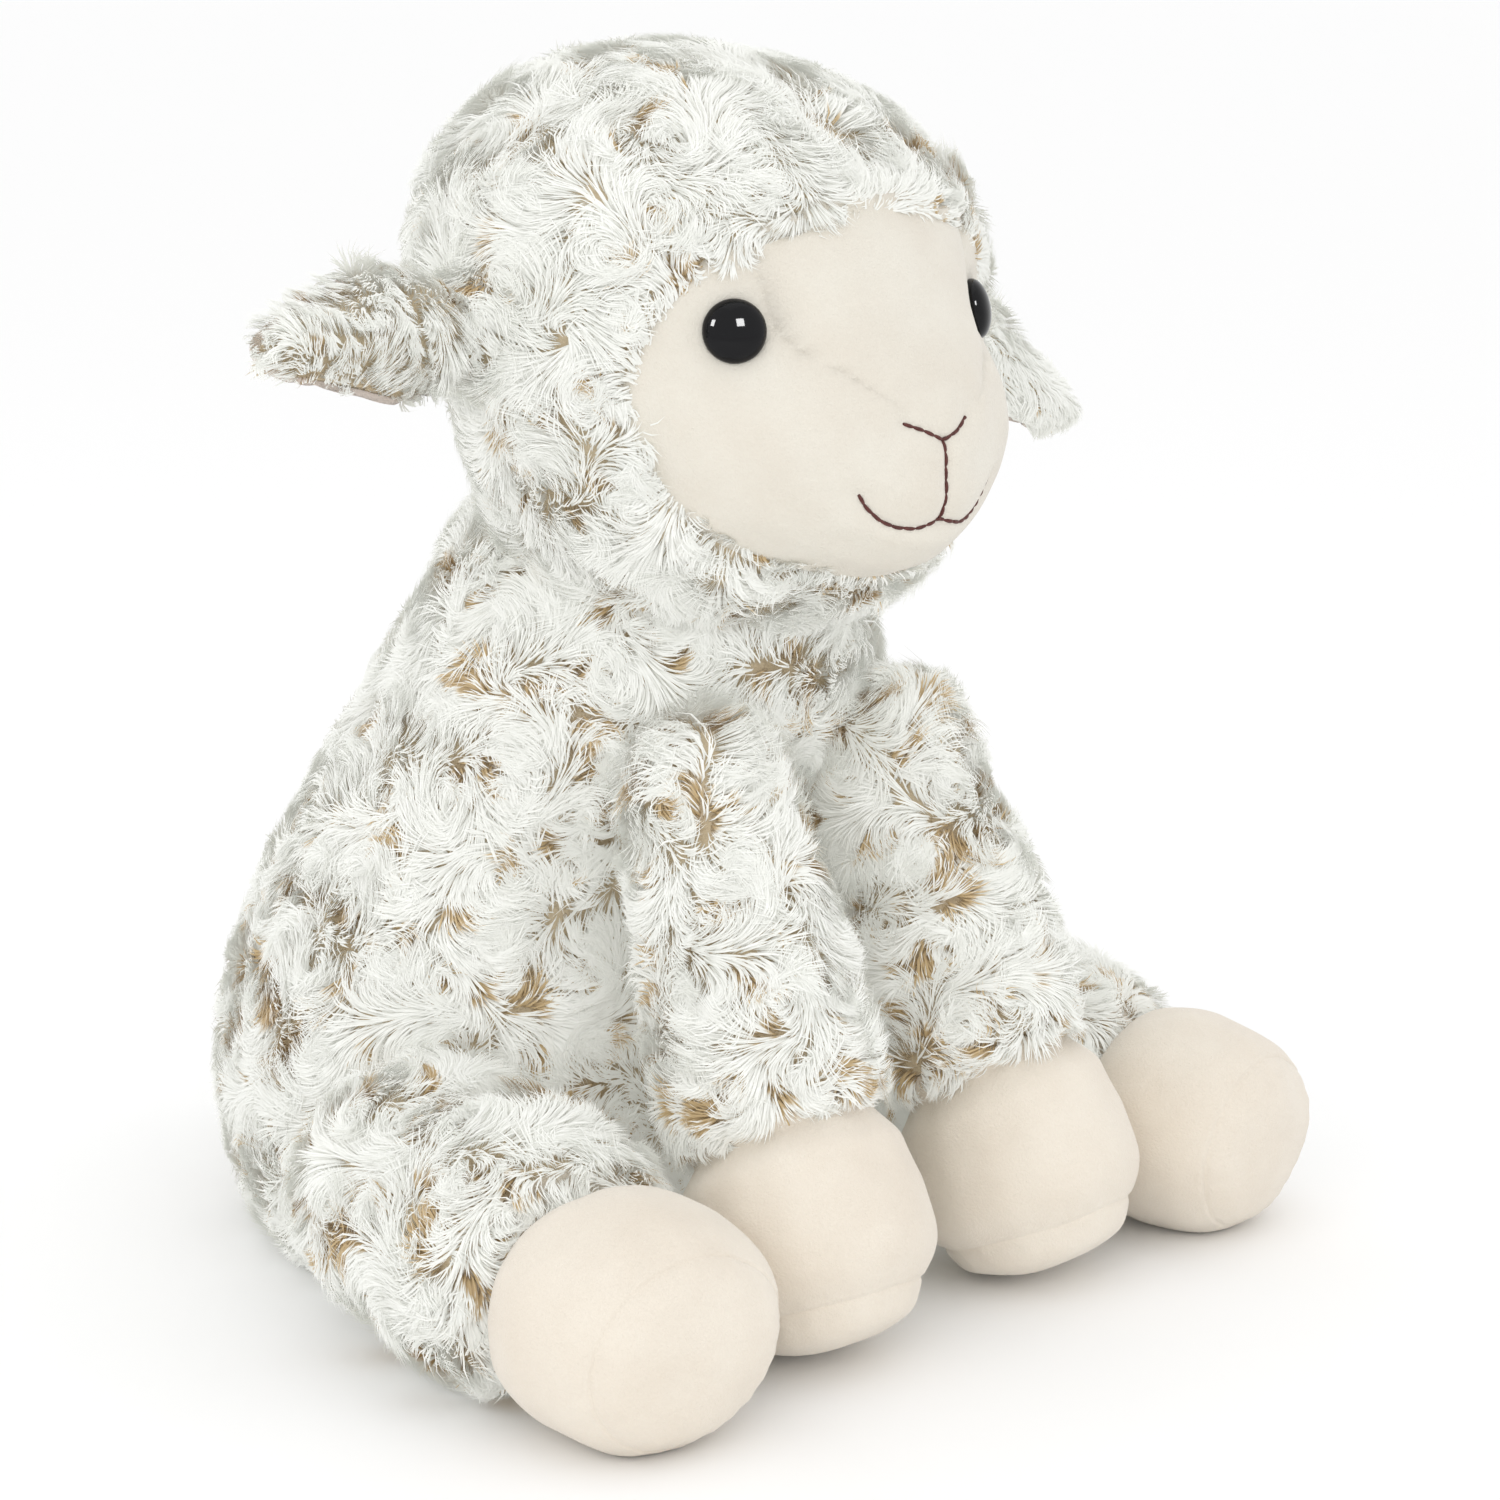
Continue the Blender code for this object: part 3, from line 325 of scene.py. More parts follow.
def last_wall(names, starts, ways):
    """Distance from each start along its way to the last triangle it meets, or 0.

    start + t way = a + u (b - a) + v (c - a) is solved for t, u and v by Cramer's
    rule, and a triangle is met where u, v and 1 - u - v are all positive.
    """
    shape = ways.shape[:-1]
    starts, ways = np.broadcast_to(starts, ways.shape).reshape(-1, 3), ways.reshape(-1, 3)
    a, b, c = node_corners(names)
    ab, ac = b - a, c - a
    reach = np.zeros(len(starts))
    pairs_at_once = 1_200_000
    for rays in np.array_split(np.arange(len(starts)), 1 + len(starts) * len(a) // pairs_at_once):
        way = ways[rays][:, None]
        across = np.cross(way, ac)
        scale = (ab * across).sum(-1)
        scale = np.where(np.abs(scale) < 1e-16, np.inf, scale)
        off = starts[rays][:, None] - a
        u = (off * across).sum(-1) / scale
        turned = np.cross(off, ab)
        v = (way * turned).sum(-1) / scale
        t = (ac * turned).sum(-1) / scale
        met = (u > -1e-6) & (v > -1e-6) & (u + v < 1 + 1e-6) & (t > 0)
        reach[rays] = np.where(met, t, 0.0).max(1)
    return reach.reshape(shape)


# %% A form is a grid of points, pole to pole
def unit(vectors):
    return vectors / np.maximum(norm(vectors, axis=-1, keepdims=True), 1e-12)


def bell(x):
    """A smooth bump: 1 where x is 0, and next to nothing past 2."""
    return np.exp(-x ** 2)


def level_part(vectors, normals):
    """The part of each vector that is square to its normal."""
    return vectors - normals * (vectors * normals).sum(-1, keepdims=True)


def between(table, row, col, next_col, a, b):
    """A table read a of the way to the next row and b of the way to the next column."""
    low = table[row, col] * (1 - b) + table[row, next_col] * b
    high = table[row + 1, col] * (1 - b) + table[row + 1, next_col] * b
    return low * (1 - a) + high * a


def square_to(axis, near=(0.0, 0.0, 1.0)):
    """Two unit vectors square to an axis, the first as near as can be to a given way."""
    first = unit(np.array(near) - axis * (np.array(near) @ axis))
    return first, np.cross(axis, first)


def circle(cols, first, second):
    """Unit ways round a circle, from the first of two square ways through the second."""
    around = np.linspace(0.0, math.tau, cols, endpoint=False)[:, None]
    return np.cos(around) * first + np.sin(around) * second


def sloped(ring, slope, axis):
    """A ring of ways tipped by each slope towards an axis."""
    return np.cos(slope)[:, None, None] * ring + np.sin(slope)[:, None, None] * axis


def line_rays(low, high, rows, cols, cap=0.3, near=(0.0, 0.0, 1.0)):
    """Starts and ways of rays that leave a line from end to end.

    With t from 0 to 1, the ray's slope turns from -90 to 0 degrees over the first cap,
    stays level while its start slides along the line, and turns on to 90 over the last.
    """
    axis = unit(high - low)
    t = np.linspace(0.0, 1.0, rows)
    slope = math.pi / 2 * (np.clip((t - 1 + cap) / cap, 0, 1) - np.clip((cap - t) / cap, 0, 1))
    slide = np.clip((t - cap) / (1 - 2 * cap), 0, 1)
    ways = sloped(circle(cols, *square_to(axis, near)), slope, axis)
    return low + slide[:, None, None] * (high - low), ways


def neighbour_mean(grid):
    """Mean of the four neighbours of each cell of a grid that closes on itself sideways."""
    up = np.concatenate([grid[:1], grid[:-1]])
    down = np.concatenate([grid[1:], grid[-1:]])
    return (up + down + np.roll(grid, 1, 1) + np.roll(grid, -1, 1)) / 4


def eased(grid, passes):
    """A grid of numbers or points, each drawn half way to its neighbours' mean, again and again."""
    for step in range(passes):
        grid = (grid + neighbour_mean(grid)) / 2
        grid[0] = grid[0].mean(0)
        grid[-1] = grid[-1].mean(0)
    return grid


def soften(reach, passes, fill_passes=300):
    """Reach with its holes filled from their edges, then eased."""
    known = reach > 0
    value = np.where(known, reach, reach[known].mean())
    for step in range(0 if known.all() else fill_passes):
        value = np.where(known, value, neighbour_mean(value))
    return eased(value, passes)


class Form:
    """A closed skin: its points and outward normals on a grid of rings."""

    def __init__(self, points):
        self.points = points
        along = np.gradient(points, axis=0)
        round_it = np.roll(points, -1, 1) - np.roll(points, 1, 1)
        normals = np.cross(round_it, along)
        normals[0] = normals[1].mean(0)
        normals[-1] = normals[-2].mean(0)
        normals = unit(normals)
        outward = (normals * (points - points.reshape(-1, 3).mean(0))).sum()
        self.normals = normals if outward > 0 else -normals

    def pushed(self, depth):
        """The same form with its skin moved out along its normals, or in."""
        return Form(self.points + self.normals * np.broadcast_to(depth, self.points.shape[:2])[..., None])


def read_form(names, starts, ways, passes):
    """A form from the last walls that a grid of rays meets, softened."""
    return Form(starts + ways * soften(last_wall(names, starts, ways), passes)[..., None])


# %% [markdown]
# ## Making a piece
#
# A grid becomes a mesh with one point at each pole, quads between the rings and
# a fan of triangles at each end, so it is closed.  One call then gives a piece
# its body and its material.


# %% From arrays to a piece
def mesh_from(name, points, corners, sizes):
    """A mesh from points, a list of face corners, and each face's number of corners."""
    mesh = bpy.data.meshes.new(name)
    mesh.vertices.add(len(points))
    mesh.vertices.foreach_set("co", np.ascontiguousarray(points, np.float32).ravel())
    mesh.loops.add(len(corners))
    mesh.loops.foreach_set("vertex_index", np.ascontiguousarray(corners, np.int32))
    mesh.polygons.add(len(sizes))
    mesh.polygons.foreach_set("loop_start", (np.cumsum(sizes) - sizes).astype(np.int32))
    mesh.update(calc_edges=True)
    mesh.shade_smooth()
    return mesh


def closed_mesh(name, points):
    """A mesh over a grid of rings whose first and last rings are single points."""
    rows, cols = points.shape[:2]
    flat = np.concatenate([points[0, :1], points[1:-1].reshape(-1, 3), points[-1, :1]])
    here = np.arange(cols)
    after = (here + 1) % cols
    ring = 1 + np.arange(rows - 3)[:, None] * cols
    quads = np.stack([ring + here, ring + after, ring + cols + after, ring + cols + here], -1)
    last = len(flat) - 1
    end = 1 + (rows - 3) * cols
    low_fan = np.stack([np.zeros_like(here), after + 1, here + 1], -1)
    high_fan = np.stack([np.full_like(here, last), end + here, end + after], -1)
    corners = np.concatenate([quads.reshape(-1), low_fan.ravel(), high_fan.ravel()])
    sizes = np.concatenate([np.full(quads.shape[0] * cols, 4), np.full(2 * cols, 3)])
    mesh = mesh_from(name, flat, corners, sizes)
    probe = mesh.polygons[len(mesh.polygons) // 3]
    if np.array(probe.normal) @ (np.array(probe.center) - points.reshape(-1, 3).mean(0)) < 0:
        mesh.flip_normals()
    return mesh


def add_piece(name, mesh, body, look, nodes=()):
    """A piece that rides on a body, has a finish and may stand for frame nodes."""
    piece = bpy.data.objects.new(name, mesh)
    bpy.context.collection.objects.link(piece)
    mesh.materials.append(look)
    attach(piece, body)
    if nodes:
        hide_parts(*nodes)
    print(f"{name}: {len(mesh.polygons)} faces on {body}")
    return piece


# %% [markdown]
# ## Where the fur swirls
#
# This fabric is heat-set into rosettes about 20 mm across.  In each, the pile
# winds round a centre, and here and there it parts in a short streak and shows
# its tan roots.  Centres are points of a cubic lattice, each pushed off its
# place by fixed luck, so any strand finds those near it in 27 cells, and a swirl
# runs on from one body to the next.

# %% Luck and lattices
CURL = 19 * MM                # rosette to rosette
PARTING = 15 * MM             # parting to parting
TUFT = 5.0 * MM               # fibres that cling together


def luck(cells, salt):
    """A fixed number from 0 to 1 for each whole-number cell, from its mixed digits."""
    mixed = (cells.astype(np.int64) * np.array([73856093, 19349663, 83492791])).sum(-1) + salt * 7919
    mixed = mixed.astype(np.uint64) & np.uint64(0xFFFFFFFF)
    for factor in (0x2C1B3C6D, 0x297A2D39):
        mixed = ((mixed ^ (mixed >> np.uint64(15))) * np.uint64(factor)) & np.uint64(0xFFFFFFFF)
    return (mixed ^ (mixed >> np.uint64(15))).astype(float) / 0xFFFFFFFF


def lattice_near(points, spacing, salt):
    """Each of the 27 pushed lattice points round every point, with its luck."""
    base = np.floor(points / spacing)
    for step in itertools.product((-1, 0, 1), repeat=3):
        cell = base + np.array(step)
        push = np.stack([luck(cell, salt + k) for k in range(3)], -1)
        yield (cell + 0.1 + 0.8 * push) * spacing, luck(cell, salt + 3)


def soft_noise(points, size, salt):
    """Smooth luck from 0 to 1: the eight cell corners round a point, blended by 3t² - 2t³."""
    base = np.floor(points / size)
    part = points / size - base
    part = part * part * (3 - 2 * part)
    total = 0.0
    for step in itertools.product((0, 1), repeat=3):
        step = np.array(step)
        weight = np.where(step, part, 1 - part).prod(-1)
        total = total + weight * luck(base + step, salt)
    return total


# %% The swirl at any point of a skin
def lie_of_the_pile(points, normals):
    """Way that the pile lies, and how it turns, at each point.

    Each rosette adds a vector square to the radius, weighted by exp(-(d/0.45 size)²).
    """
    flow = np.zeros_like(points)
    spin = np.zeros(len(points))
    weight = np.full(len(points), 1e-6)
    for centre, chance in lattice_near(points, CURL, 11):
        out = points - centre
        near = np.exp(-(out ** 2).sum(-1) / (0.45 * CURL) ** 2)
        out = unit(level_part(out, normals))
        turn = np.where(chance < 0.5, 1.0, -1.0)
        winding = np.cross(normals, out) * turn[:, None] - 0.35 * out
        flow += winding * near[:, None]
        spin += near * turn
        weight += near
    return unit(flow), spin / weight


def parting_at(points, normals, lie, share):
    """How deep each point lies in a parting, from 0 to 1: streaks along the lie."""
    bare = np.zeros(len(points))
    for centre, chance in lattice_near(points, PARTING, 31):
        out = points - centre
        height, along = (out * normals).sum(-1), (out * lie).sum(-1)
        across = np.maximum((out ** 2).sum(-1) - height ** 2 - along ** 2, 0.0)
        wide = (1.5 + 1.9 * chance / share) * MM
        fall = across / wide ** 2 + (along / (2.3 * wide)) ** 2 + (height / (7 * MM)) ** 2
        bare = np.maximum(bare, np.exp(-fall) * (chance < share))
    return bare


def tuft_of(points):
    """Centre of the tuft that each root belongs to, and three lucks of that tuft."""
    best = np.full(len(points), np.inf)
    centre = np.zeros_like(points)
    for place, chance in lattice_near(points, TUFT, 51):
        apart = ((points - place) ** 2).sum(-1)
        closer = apart < best
        best = np.where(closer, apart, best)
        centre = np.where(closer[:, None], place, centre)
    cell = np.floor(centre / (0.5 * TUFT))
    return centre, np.stack([luck(cell, salt) for salt in (61, 62, 63)], -1)


# %% [markdown]
# ## Growing the fur
#
# A strand is a narrow blade, pointed at both ends.  It stands up out of the
# backing, lies over along the swirl and bends round with it, while its tip is
# drawn to the middle of its tuft.  A strand whose tip would cover a parting is
# short and low.  Its shading normal leans to the skin's own, so that thousands
# of blades read as one soft surface.

# %% Strands
STRAND_STEPS = np.array([0.0, 0.34, 0.70, 1.0])
STRAND_WIDTHS = np.array([0.0, 0.44, 0.36, 0.0]) * MM
ROOT_DEPTH = 4.2 * MM         # backing under the frame's skin
SKIN_DEPTH = 3.2 * MM         # where the drawn backing lies
PILE_RISE = 6.2 * MM          # how high a strand stands over its root
PILE_REACH = 10.5 * MM        # how far it lies over
FUR_DENSITY = 1.85e6          # strands on a square metre
FLOOR_GAP = 0.3 * MM          # how far the strands stay off the floor


def scatter(form, seed, keep=None):
    """Roots spread evenly over a form: cells drawn by area, and a random place in each."""
    grid = np.concatenate([form.points, form.points[:, :1]], 1)
    slopes = np.concatenate([form.normals, form.normals[:, :1]], 1)
    one = grid[1:, 1:] - grid[:-1, :-1]
    other = grid[1:, :-1] - grid[:-1, 1:]
    area = norm(np.cross(one, other), axis=-1) / 2
    if keep is not None:
        area = area * keep((grid[1:, 1:] + grid[:-1, :-1]) / 2, (slopes[1:, 1:] + slopes[:-1, :-1]) / 2)
    rng = np.random.default_rng(seed)
    count = int(area.sum() * FUR_DENSITY)
    running = np.cumsum(area.ravel())
    cell = np.searchsorted(running, rng.random(count) * running[-1])
    row, col = np.divmod(cell, area.shape[1])
    place = (row, col, col + 1, *rng.random((2, count, 1)))
    return between(grid, *place), unit(between(slopes, *place)), rng


def grow_fur(name, form, body, seed, keep=None, steer=None, trim=None, size=1.0, share=0.80):
    """A piece of strands over a form.

    A strand's point at step s is root + normal rise (2 s - s²) + lie reach s^1.3,
    with the lie turned about the normal by bend s, plus s^1.2 times part of the way to
    the middle of its tuft.  keep drops roots, steer changes the lie, trim the length.
    """
    skin, normals, rng = scatter(form, seed, keep)
    lie, spin = lie_of_the_pile(skin, normals)
    middle, lucks = tuft_of(skin)
    count = len(skin)
    stray = rng.normal(size=(count, 3))
    if steer is not None:
        lie = steer(skin, lie)
    lie = unit(level_part(lie, normals))
    bare = parting_at(skin, normals, lie, share)
    turn = (lucks[:, 0] - 0.5) * 0.6 + stray[:, 0] * 0.10
    side = np.cross(normals, lie)
    lie = lie * np.cos(turn)[:, None] + side * np.sin(turn)[:, None]
    side = np.cross(normals, lie)
    s = STRAND_STEPS[:, None, None]
    angle = (1.2 * spin + 0.3 * (lucks[:, 2] - 0.5))[:, None] * s
    heading = lie * np.cos(angle) + side * np.sin(angle)
    wide = side * np.cos(angle) - lie * np.sin(angle)
    over = [parting_at(skin + heading[k] * (0.9 * PILE_REACH * far), normals, heading[k], share)
            for k, far in ((1, 0.3), (2, 0.65), (3, 1.0))]
    over = np.max(over, axis=0) * (1 - bare)

    heave = soft_noise(skin, 9 * MM, 71)
    length = size * (np.ones(count) if trim is None else trim(skin))
    rise = length * PILE_RISE * (0.84 + 0.16 * lucks[:, 1] + 0.24 * heave - 0.28 * bare - 0.32 * over
                                 + 0.04 * stray[:, 1])
    reach = length * PILE_REACH * (0.84 + 0.30 * lucks[:, 2] - 0.20 * bare - 0.55 * over
                                   + 0.08 * stray[:, 2])
    to_middle = level_part(middle - skin, normals)
    root = skin - normals * (ROOT_DEPTH * length)[:, None]
    path = (root + normals * rise[:, None] * (2 * s - s ** 2) + heading * reach[:, None] * s ** 1.3
            + to_middle * (0.5 * s ** 1.2) + stray * (0.22 * MM * s))
    half = STRAND_WIDTHS[:, None, None] / 2 * (0.75 + 0.5 * rng.random((1, count, 1)))
    left, right = path - wide * half, path + wide * half
    points = np.stack([path[0], left[1], right[1], left[2], right[2], path[3]], 1).reshape(-1, 3)
    points[:, 2] = np.maximum(points[:, 2], FLOOR_GAP)
    fronts = np.cross(np.gradient(path, axis=0), wide)
    soft = unit(unit(fronts) + 0.8 * normals + 0.08 * rng.normal(size=(count, 3)))[[0, 1, 1, 2, 2, 3]]
    speck = np.where(lucks[:, 0] * lucks[:, 1] > 0.74, 0.60, 0.0)
    tan = np.clip(0.06 + 1.15 * bare + 0.25 * over + speck + 0.07 * rng.normal(size=count), 0.0, 1.0)
    return strand_piece(name, points, soft.transpose(1, 0, 2).reshape(-1, 3), body, tan)


def strand_piece(name, points, soft, body, tan):
    """The strands as a mesh: a triangle, a quad and a triangle each, with chart and normals."""
    count = len(tan)
    first = 6 * np.arange(count)[:, None]
    corners = (first + np.array([0, 1, 2, 1, 3, 4, 2, 3, 5, 4])).ravel()
    mesh = mesh_from(name, points, corners, np.tile([3, 4, 3], count))
    chart = mesh.uv_layers.new(name=FUR_CHART)
    across = 0.985 * tan[:, None] + 0.012 * np.array([0.5, 0, 1, 0, 0, 1, 1, 0, 0.5, 1])
    up = np.broadcast_to(STRAND_STEPS[np.array([0, 1, 1, 1, 2, 2, 1, 2, 3, 2])], across.shape)
    chart.data.foreach_set("uv", np.stack([across, up], -1).astype(np.float32).ravel())
    mesh.normals_split_custom_set_from_vertices(soft.astype(np.float32))
    return add_piece(name, mesh, body, fur_strands)


def padded_skin(name, form, body, nodes, look):
    """The stuffed body under its pile, as a closed, softly lumpy pad that rests on the floor."""
    points = form.pushed(1.2 * MM * (soft_noise(form.points, 16 * MM, 81) - 0.5)).points
    points[..., 2] = np.maximum(points[..., 2], 0.1 * MM)
    piece = add_piece(name, closed_mesh(name, points), body, look, nodes)
    return piece


# %% [markdown]
# ## Torso
#
# The torso is one stuffed pear.  Its rays leave an upright line in its middle.
# The fur is grown in six sectors, so that each mesh stays small.

# %% Torso
torso_low = np.array([0.0, 0.012, 0.062])
torso_high = np.array([0.0, -0.012, 0.140])
torso_rays = line_rays(torso_low, torso_high, 72, 96, near=(0.0, -1.0, 0.0))
torso_form = read_form(["torso_fur"], *torso_rays, 6)
padded_skin("torso_skin", torso_form.pushed(-SKIN_DEPTH), "torso",
            ["torso_fur", "torso_filling", "seat_pellet_bag"], backing_cloth)
SECTORS = 6
for sector in range(SECTORS):
    def in_sector(points, normals):
        angle = np.degrees(np.arctan2(points[..., 0], -points[..., 1])) % 360
        return angle // (360 // SECTORS) == sector
    grow_fur(f"torso_pile_{sector + 1}", torso_form, "torso", 100 + sector, in_sector)

# %% [markdown]
# ## Head
#
# The face and the hood are measured from one point in the head's middle, as
# rings round the way that the face looks.  The rim of the face is read off the
# frame, and rings are shares of the way out to it: up to 1 on the face, past 1
# on the hood.

# %% Rings round the face
HEAD_MIDDLE = np.array([0.0, -0.038, 0.226])
FACE_DROP = 4.0               # degrees that the face looks down
HEAD_COLS = 120
face_nodes = ["forehead_gusset", "cheek_left", "cheek_right"]
face_axis = np.array([0.0, -math.cos(math.radians(FACE_DROP)), -math.sin(math.radians(FACE_DROP))])
face_up, face_side = square_to(face_axis)


def face_angles(ways):
    """How far ways lead off the face's axis, and where round it."""
    return (np.arccos(np.clip(ways @ face_axis, -1, 1)),
            np.arctan2(ways @ face_side, ways @ face_up) % math.tau)


def face_rim():
    """Angle from the face's axis to its rim, for each column: the widest point in a narrow fan."""
    off, around = face_angles(unit(node_points(*face_nodes) - HEAD_MIDDLE))
    cols = np.linspace(0.0, math.tau, HEAD_COLS, endpoint=False)
    apart = np.abs((around[None] - cols[:, None] + math.pi) % math.tau - math.pi)
    rim = np.where(apart < math.radians(8.0), off[None], 0.0).max(1)
    for step in range(8):
        rim = (2 * rim + np.roll(rim, 1) + np.roll(rim, -1)) / 4
    return cols, rim


rim_cols, rim_angle = face_rim()


def rim_at(around):
    """The rim's angle anywhere round the face."""
    return np.interp(around, rim_cols, rim_angle, period=math.tau)


def from_middle(ways, reach):
    """Points at a reach from the head's middle."""
    return HEAD_MIDDLE + ways * reach[..., None]


def head_ways(shares):
    """Ways from the head's middle on rings at shares of the rim's angle, past 1 on to the back."""
    shares = np.asarray(shares)
    shares = shares[:, None] if shares.ndim == 1 else shares
    angle = np.where(shares <= 1, rim_angle * shares, rim_angle + (math.pi - rim_angle) * (shares - 1))
    ring = circle(HEAD_COLS, face_up, face_side)
    return np.cos(angle)[..., None] * face_axis + np.sin(angle)[..., None] * ring


print("face rim:", np.degrees(rim_angle.min()).round(), "to", np.degrees(rim_angle.max()).round(), "degrees")

# %% [markdown]
# ### Face
#
# The face starts as the softened reach of its three panels.  Then dents are
# pressed into it: a groove along the seams of the forehead gusset, a dimple
# where a washer pulls each eye in, and a furrow under the nose and mouth.

# %% Face reach
face_shares = np.linspace(0.0, 1.0, 64)
face_way = head_ways(face_shares)
face_raw = last_wall(face_nodes, HEAD_MIDDLE, face_way)
face_raw[-2:] = 0
face_reach = soften(face_raw, 5)


def reach_at(ways):
    """Reach of the face along any ways, read between the points of its grid."""
    off, around = face_angles(ways)
    col = around / math.tau * HEAD_COLS
    row = np.clip(off / rim_at(around), 0, 0.999) * (len(face_shares) - 1)
    r0, c0 = row.astype(int), col.astype(int)
    return between(face_reach, r0, c0 % HEAD_COLS, (c0 + 1) % HEAD_COLS, row - r0, col - c0)


def face_points_at(turn, lift):
    """Points of the face at ways turned to the left and lifted, in degrees."""
    turn, lift = np.radians(turn), np.radians(lift)
    ways = np.stack([np.sin(turn) * np.cos(lift), -np.cos(turn) * np.cos(lift), np.sin(lift)], -1)
    return from_middle(ways, reach_at(ways))


# %% Where the stitches run
stitch_lines = {              # knots, turned to the left and lifted, in degrees
    "nose_stitches": ((-11.0, -6.8), (-6.5, -8.2), (-1.0, -10.4), (2.5, -8.8), (6.0, -6.8)),
    "middle_stitches": ((-1.0, -10.4), (-1.4, -15.0), (-1.0, -20.0), (-0.5, -24.4)),
    "mouth_stitches": ((-19.8, -19.4), (-17.8, -22.0), (-14.5, -24.4), (-11.0, -25.5), (-7.0, -25.7),
                       (-3.5, -25.0), (-0.5, -24.4), (3.0, -25.0), (6.5, -25.7), (10.5, -25.5),
                       (14.0, -24.4), (17.3, -22.0), (19.3, -19.4))}


def smooth_line(knots, count):
    """Points along a line through knots, eased by averaging its corners."""
    knots = np.array(knots, float)
    at = np.linspace(0, len(knots) - 1, count)
    line = np.stack([np.interp(at, np.arange(len(knots)), knots[:, k]) for k in range(2)], -1)
    for step in range(count // 8):
        line[1:-1] = (line[:-2] + 2 * line[1:-1] + line[2:]) / 4
    return line



# %% Dents in the face
def lift_of(ways):
    """Degrees that ways lead up."""
    return np.degrees(np.arcsin(np.clip(ways[..., 2], -1, 1)))


eye_places = [node_points("eye_" + side).mean(0) for side in ("left", "right")]
gusset_way = unit(node_points("forehead_gusset") - HEAD_MIDDLE)
gusset_lift = lift_of(gusset_way)
gusset_half = np.abs(node_points("forehead_gusset")[:, 0])
lift_bins = np.arange(-12.0, 60.0, 3.0)
seam_half = np.array([gusset_half[np.abs(gusset_lift - lift) < 3.0].max(initial=0.0) for lift in lift_bins])


def dents(points):
    """How far the face is drawn in: grooves and dimples, each depth exp(-(d/width)²)."""

    def dip(apart, depth, width):
        return depth * MM * bell(apart / (width * MM))

    ways = unit(points - HEAD_MIDDLE)
    lift = lift_of(ways)
    off_seam = np.abs(np.abs(points[:, 0]) - np.interp(lift, lift_bins, seam_half))
    fade = np.clip((lift + 8) / 16, 0, 1)
    depth = fade * (dip(off_seam, 1.5, 1.0) + dip(off_seam, 1.2, 5.0))
    depth += 2.6 * MM * np.clip((-lift - 26) / 18, 0, 1)          # the neck's fur holds the chin in
    for place in eye_places:
        depth += dip(norm(points - place, axis=-1), 1.2, 10.0)
    for knots in stitch_lines.values():
        line = face_points_at(*smooth_line(knots, 60).T)
        apart = norm(points[:, None] - line, axis=-1).min(1)
        depth += dip(apart, 0.7, 1.0) + dip(apart, 0.8, 3.6)
    return depth - 0.5 * MM * (soft_noise(points, 14 * MM, 91) - 0.5)


EYE_SINK = 2.2 * MM           # how far the washers draw the eyes and the brow between them in
BROW_LIFT, BROW_SPREAD = 14, 16                               # degrees
lift_on_grid = lift_of(face_way)
brow_sink = 1.1 * EYE_SINK * bell((lift_on_grid - BROW_LIFT) / BROW_SPREAD)
face_reach = face_reach - brow_sink * (1 - face_shares[:, None] ** 4)
outer = from_middle(face_way, face_reach)
face_reach = face_reach - dents(outer.reshape(-1, 3)).reshape(face_reach.shape)
outer = from_middle(face_way, face_reach)
tuck_way = head_ways([1.025, 1.05])
tuck = from_middle(tuck_way, face_reach[-1] - np.array([[1.0 * MM], [3.0 * MM]]))
back = HEAD_MIDDLE + head_ways([0.9, 0.5, 0.0]) * (face_reach[-1].mean() - 9 * MM)
face_grid = np.concatenate([outer, tuck, back])
face = add_piece("face_velboa", closed_mesh("face_velboa", face_grid), "head", velboa,
                 face_nodes)

# %% [markdown]
# ### Hood
#
# The hood's pile starts a little inside the rim of the face.  It hangs over the
# brow and lies away from the cheeks, where the tan roots show.

# %% Hood
brow = np.clip(np.cos(rim_cols), 0, 1) ** 2
chin = np.clip(-np.cos(rim_cols), 0, 1) ** 2
hood_way = head_ways(np.concatenate([np.linspace(1.0, 1.3, 16), np.linspace(1.32, 2.0, 52)]))
hood_reach = soften(last_wall(["head_hood"], HEAD_MIDDLE, hood_way), 5)
ON_FACE = 0.3 * MM            # the hood's edge over the velboa
hood_reach[0] = face_reach[-1] + ON_FACE
lap = np.linspace(1.0, 0.0, 6, endpoint=False)[:, None] * (0.02 + 0.05 * brow + 0.07 * chin)
lap_way = head_ways(1 - lap)
hood_form = Form(np.concatenate([from_middle(lap_way, reach_at(lap_way) + ON_FACE),
                                 from_middle(hood_way, hood_reach)]))
EDGE_DEPTH = 2.6 * MM
inset = EDGE_DEPTH + (SKIN_DEPTH - EDGE_DEPTH) * np.clip(np.arange(len(hood_way)) / 6, 0, 1)
skin_reach = hood_reach - inset[:, None]
rolled_reach = face_reach[-1] - np.array([[4], [7], [9], [9]]) * MM
rolled = from_middle(head_ways([0.985, 0.9, 0.5, 0.0]), rolled_reach)
rolled[-1] = rolled[-1].mean(0)
hood_skin = np.concatenate([rolled[::-1], from_middle(hood_way, skin_reach)])
hood = add_piece("hood_skin", closed_mesh("hood_skin", hood_skin), "head", backing_cloth,
                 ["head_hood", "head_filling"])
joints = {joint["name"]: joint for joint in frame["joints"]}
neck_place, neck_axis = (np.array(joints["head_turn"][key]) for key in ("pos_m", "axis"))


def past_rim(points):
    """Angle from the face's rim back to each point, and where round the face it lies."""
    off, around = face_angles(unit(points - HEAD_MIDDLE))
    return off - rim_at(around), around


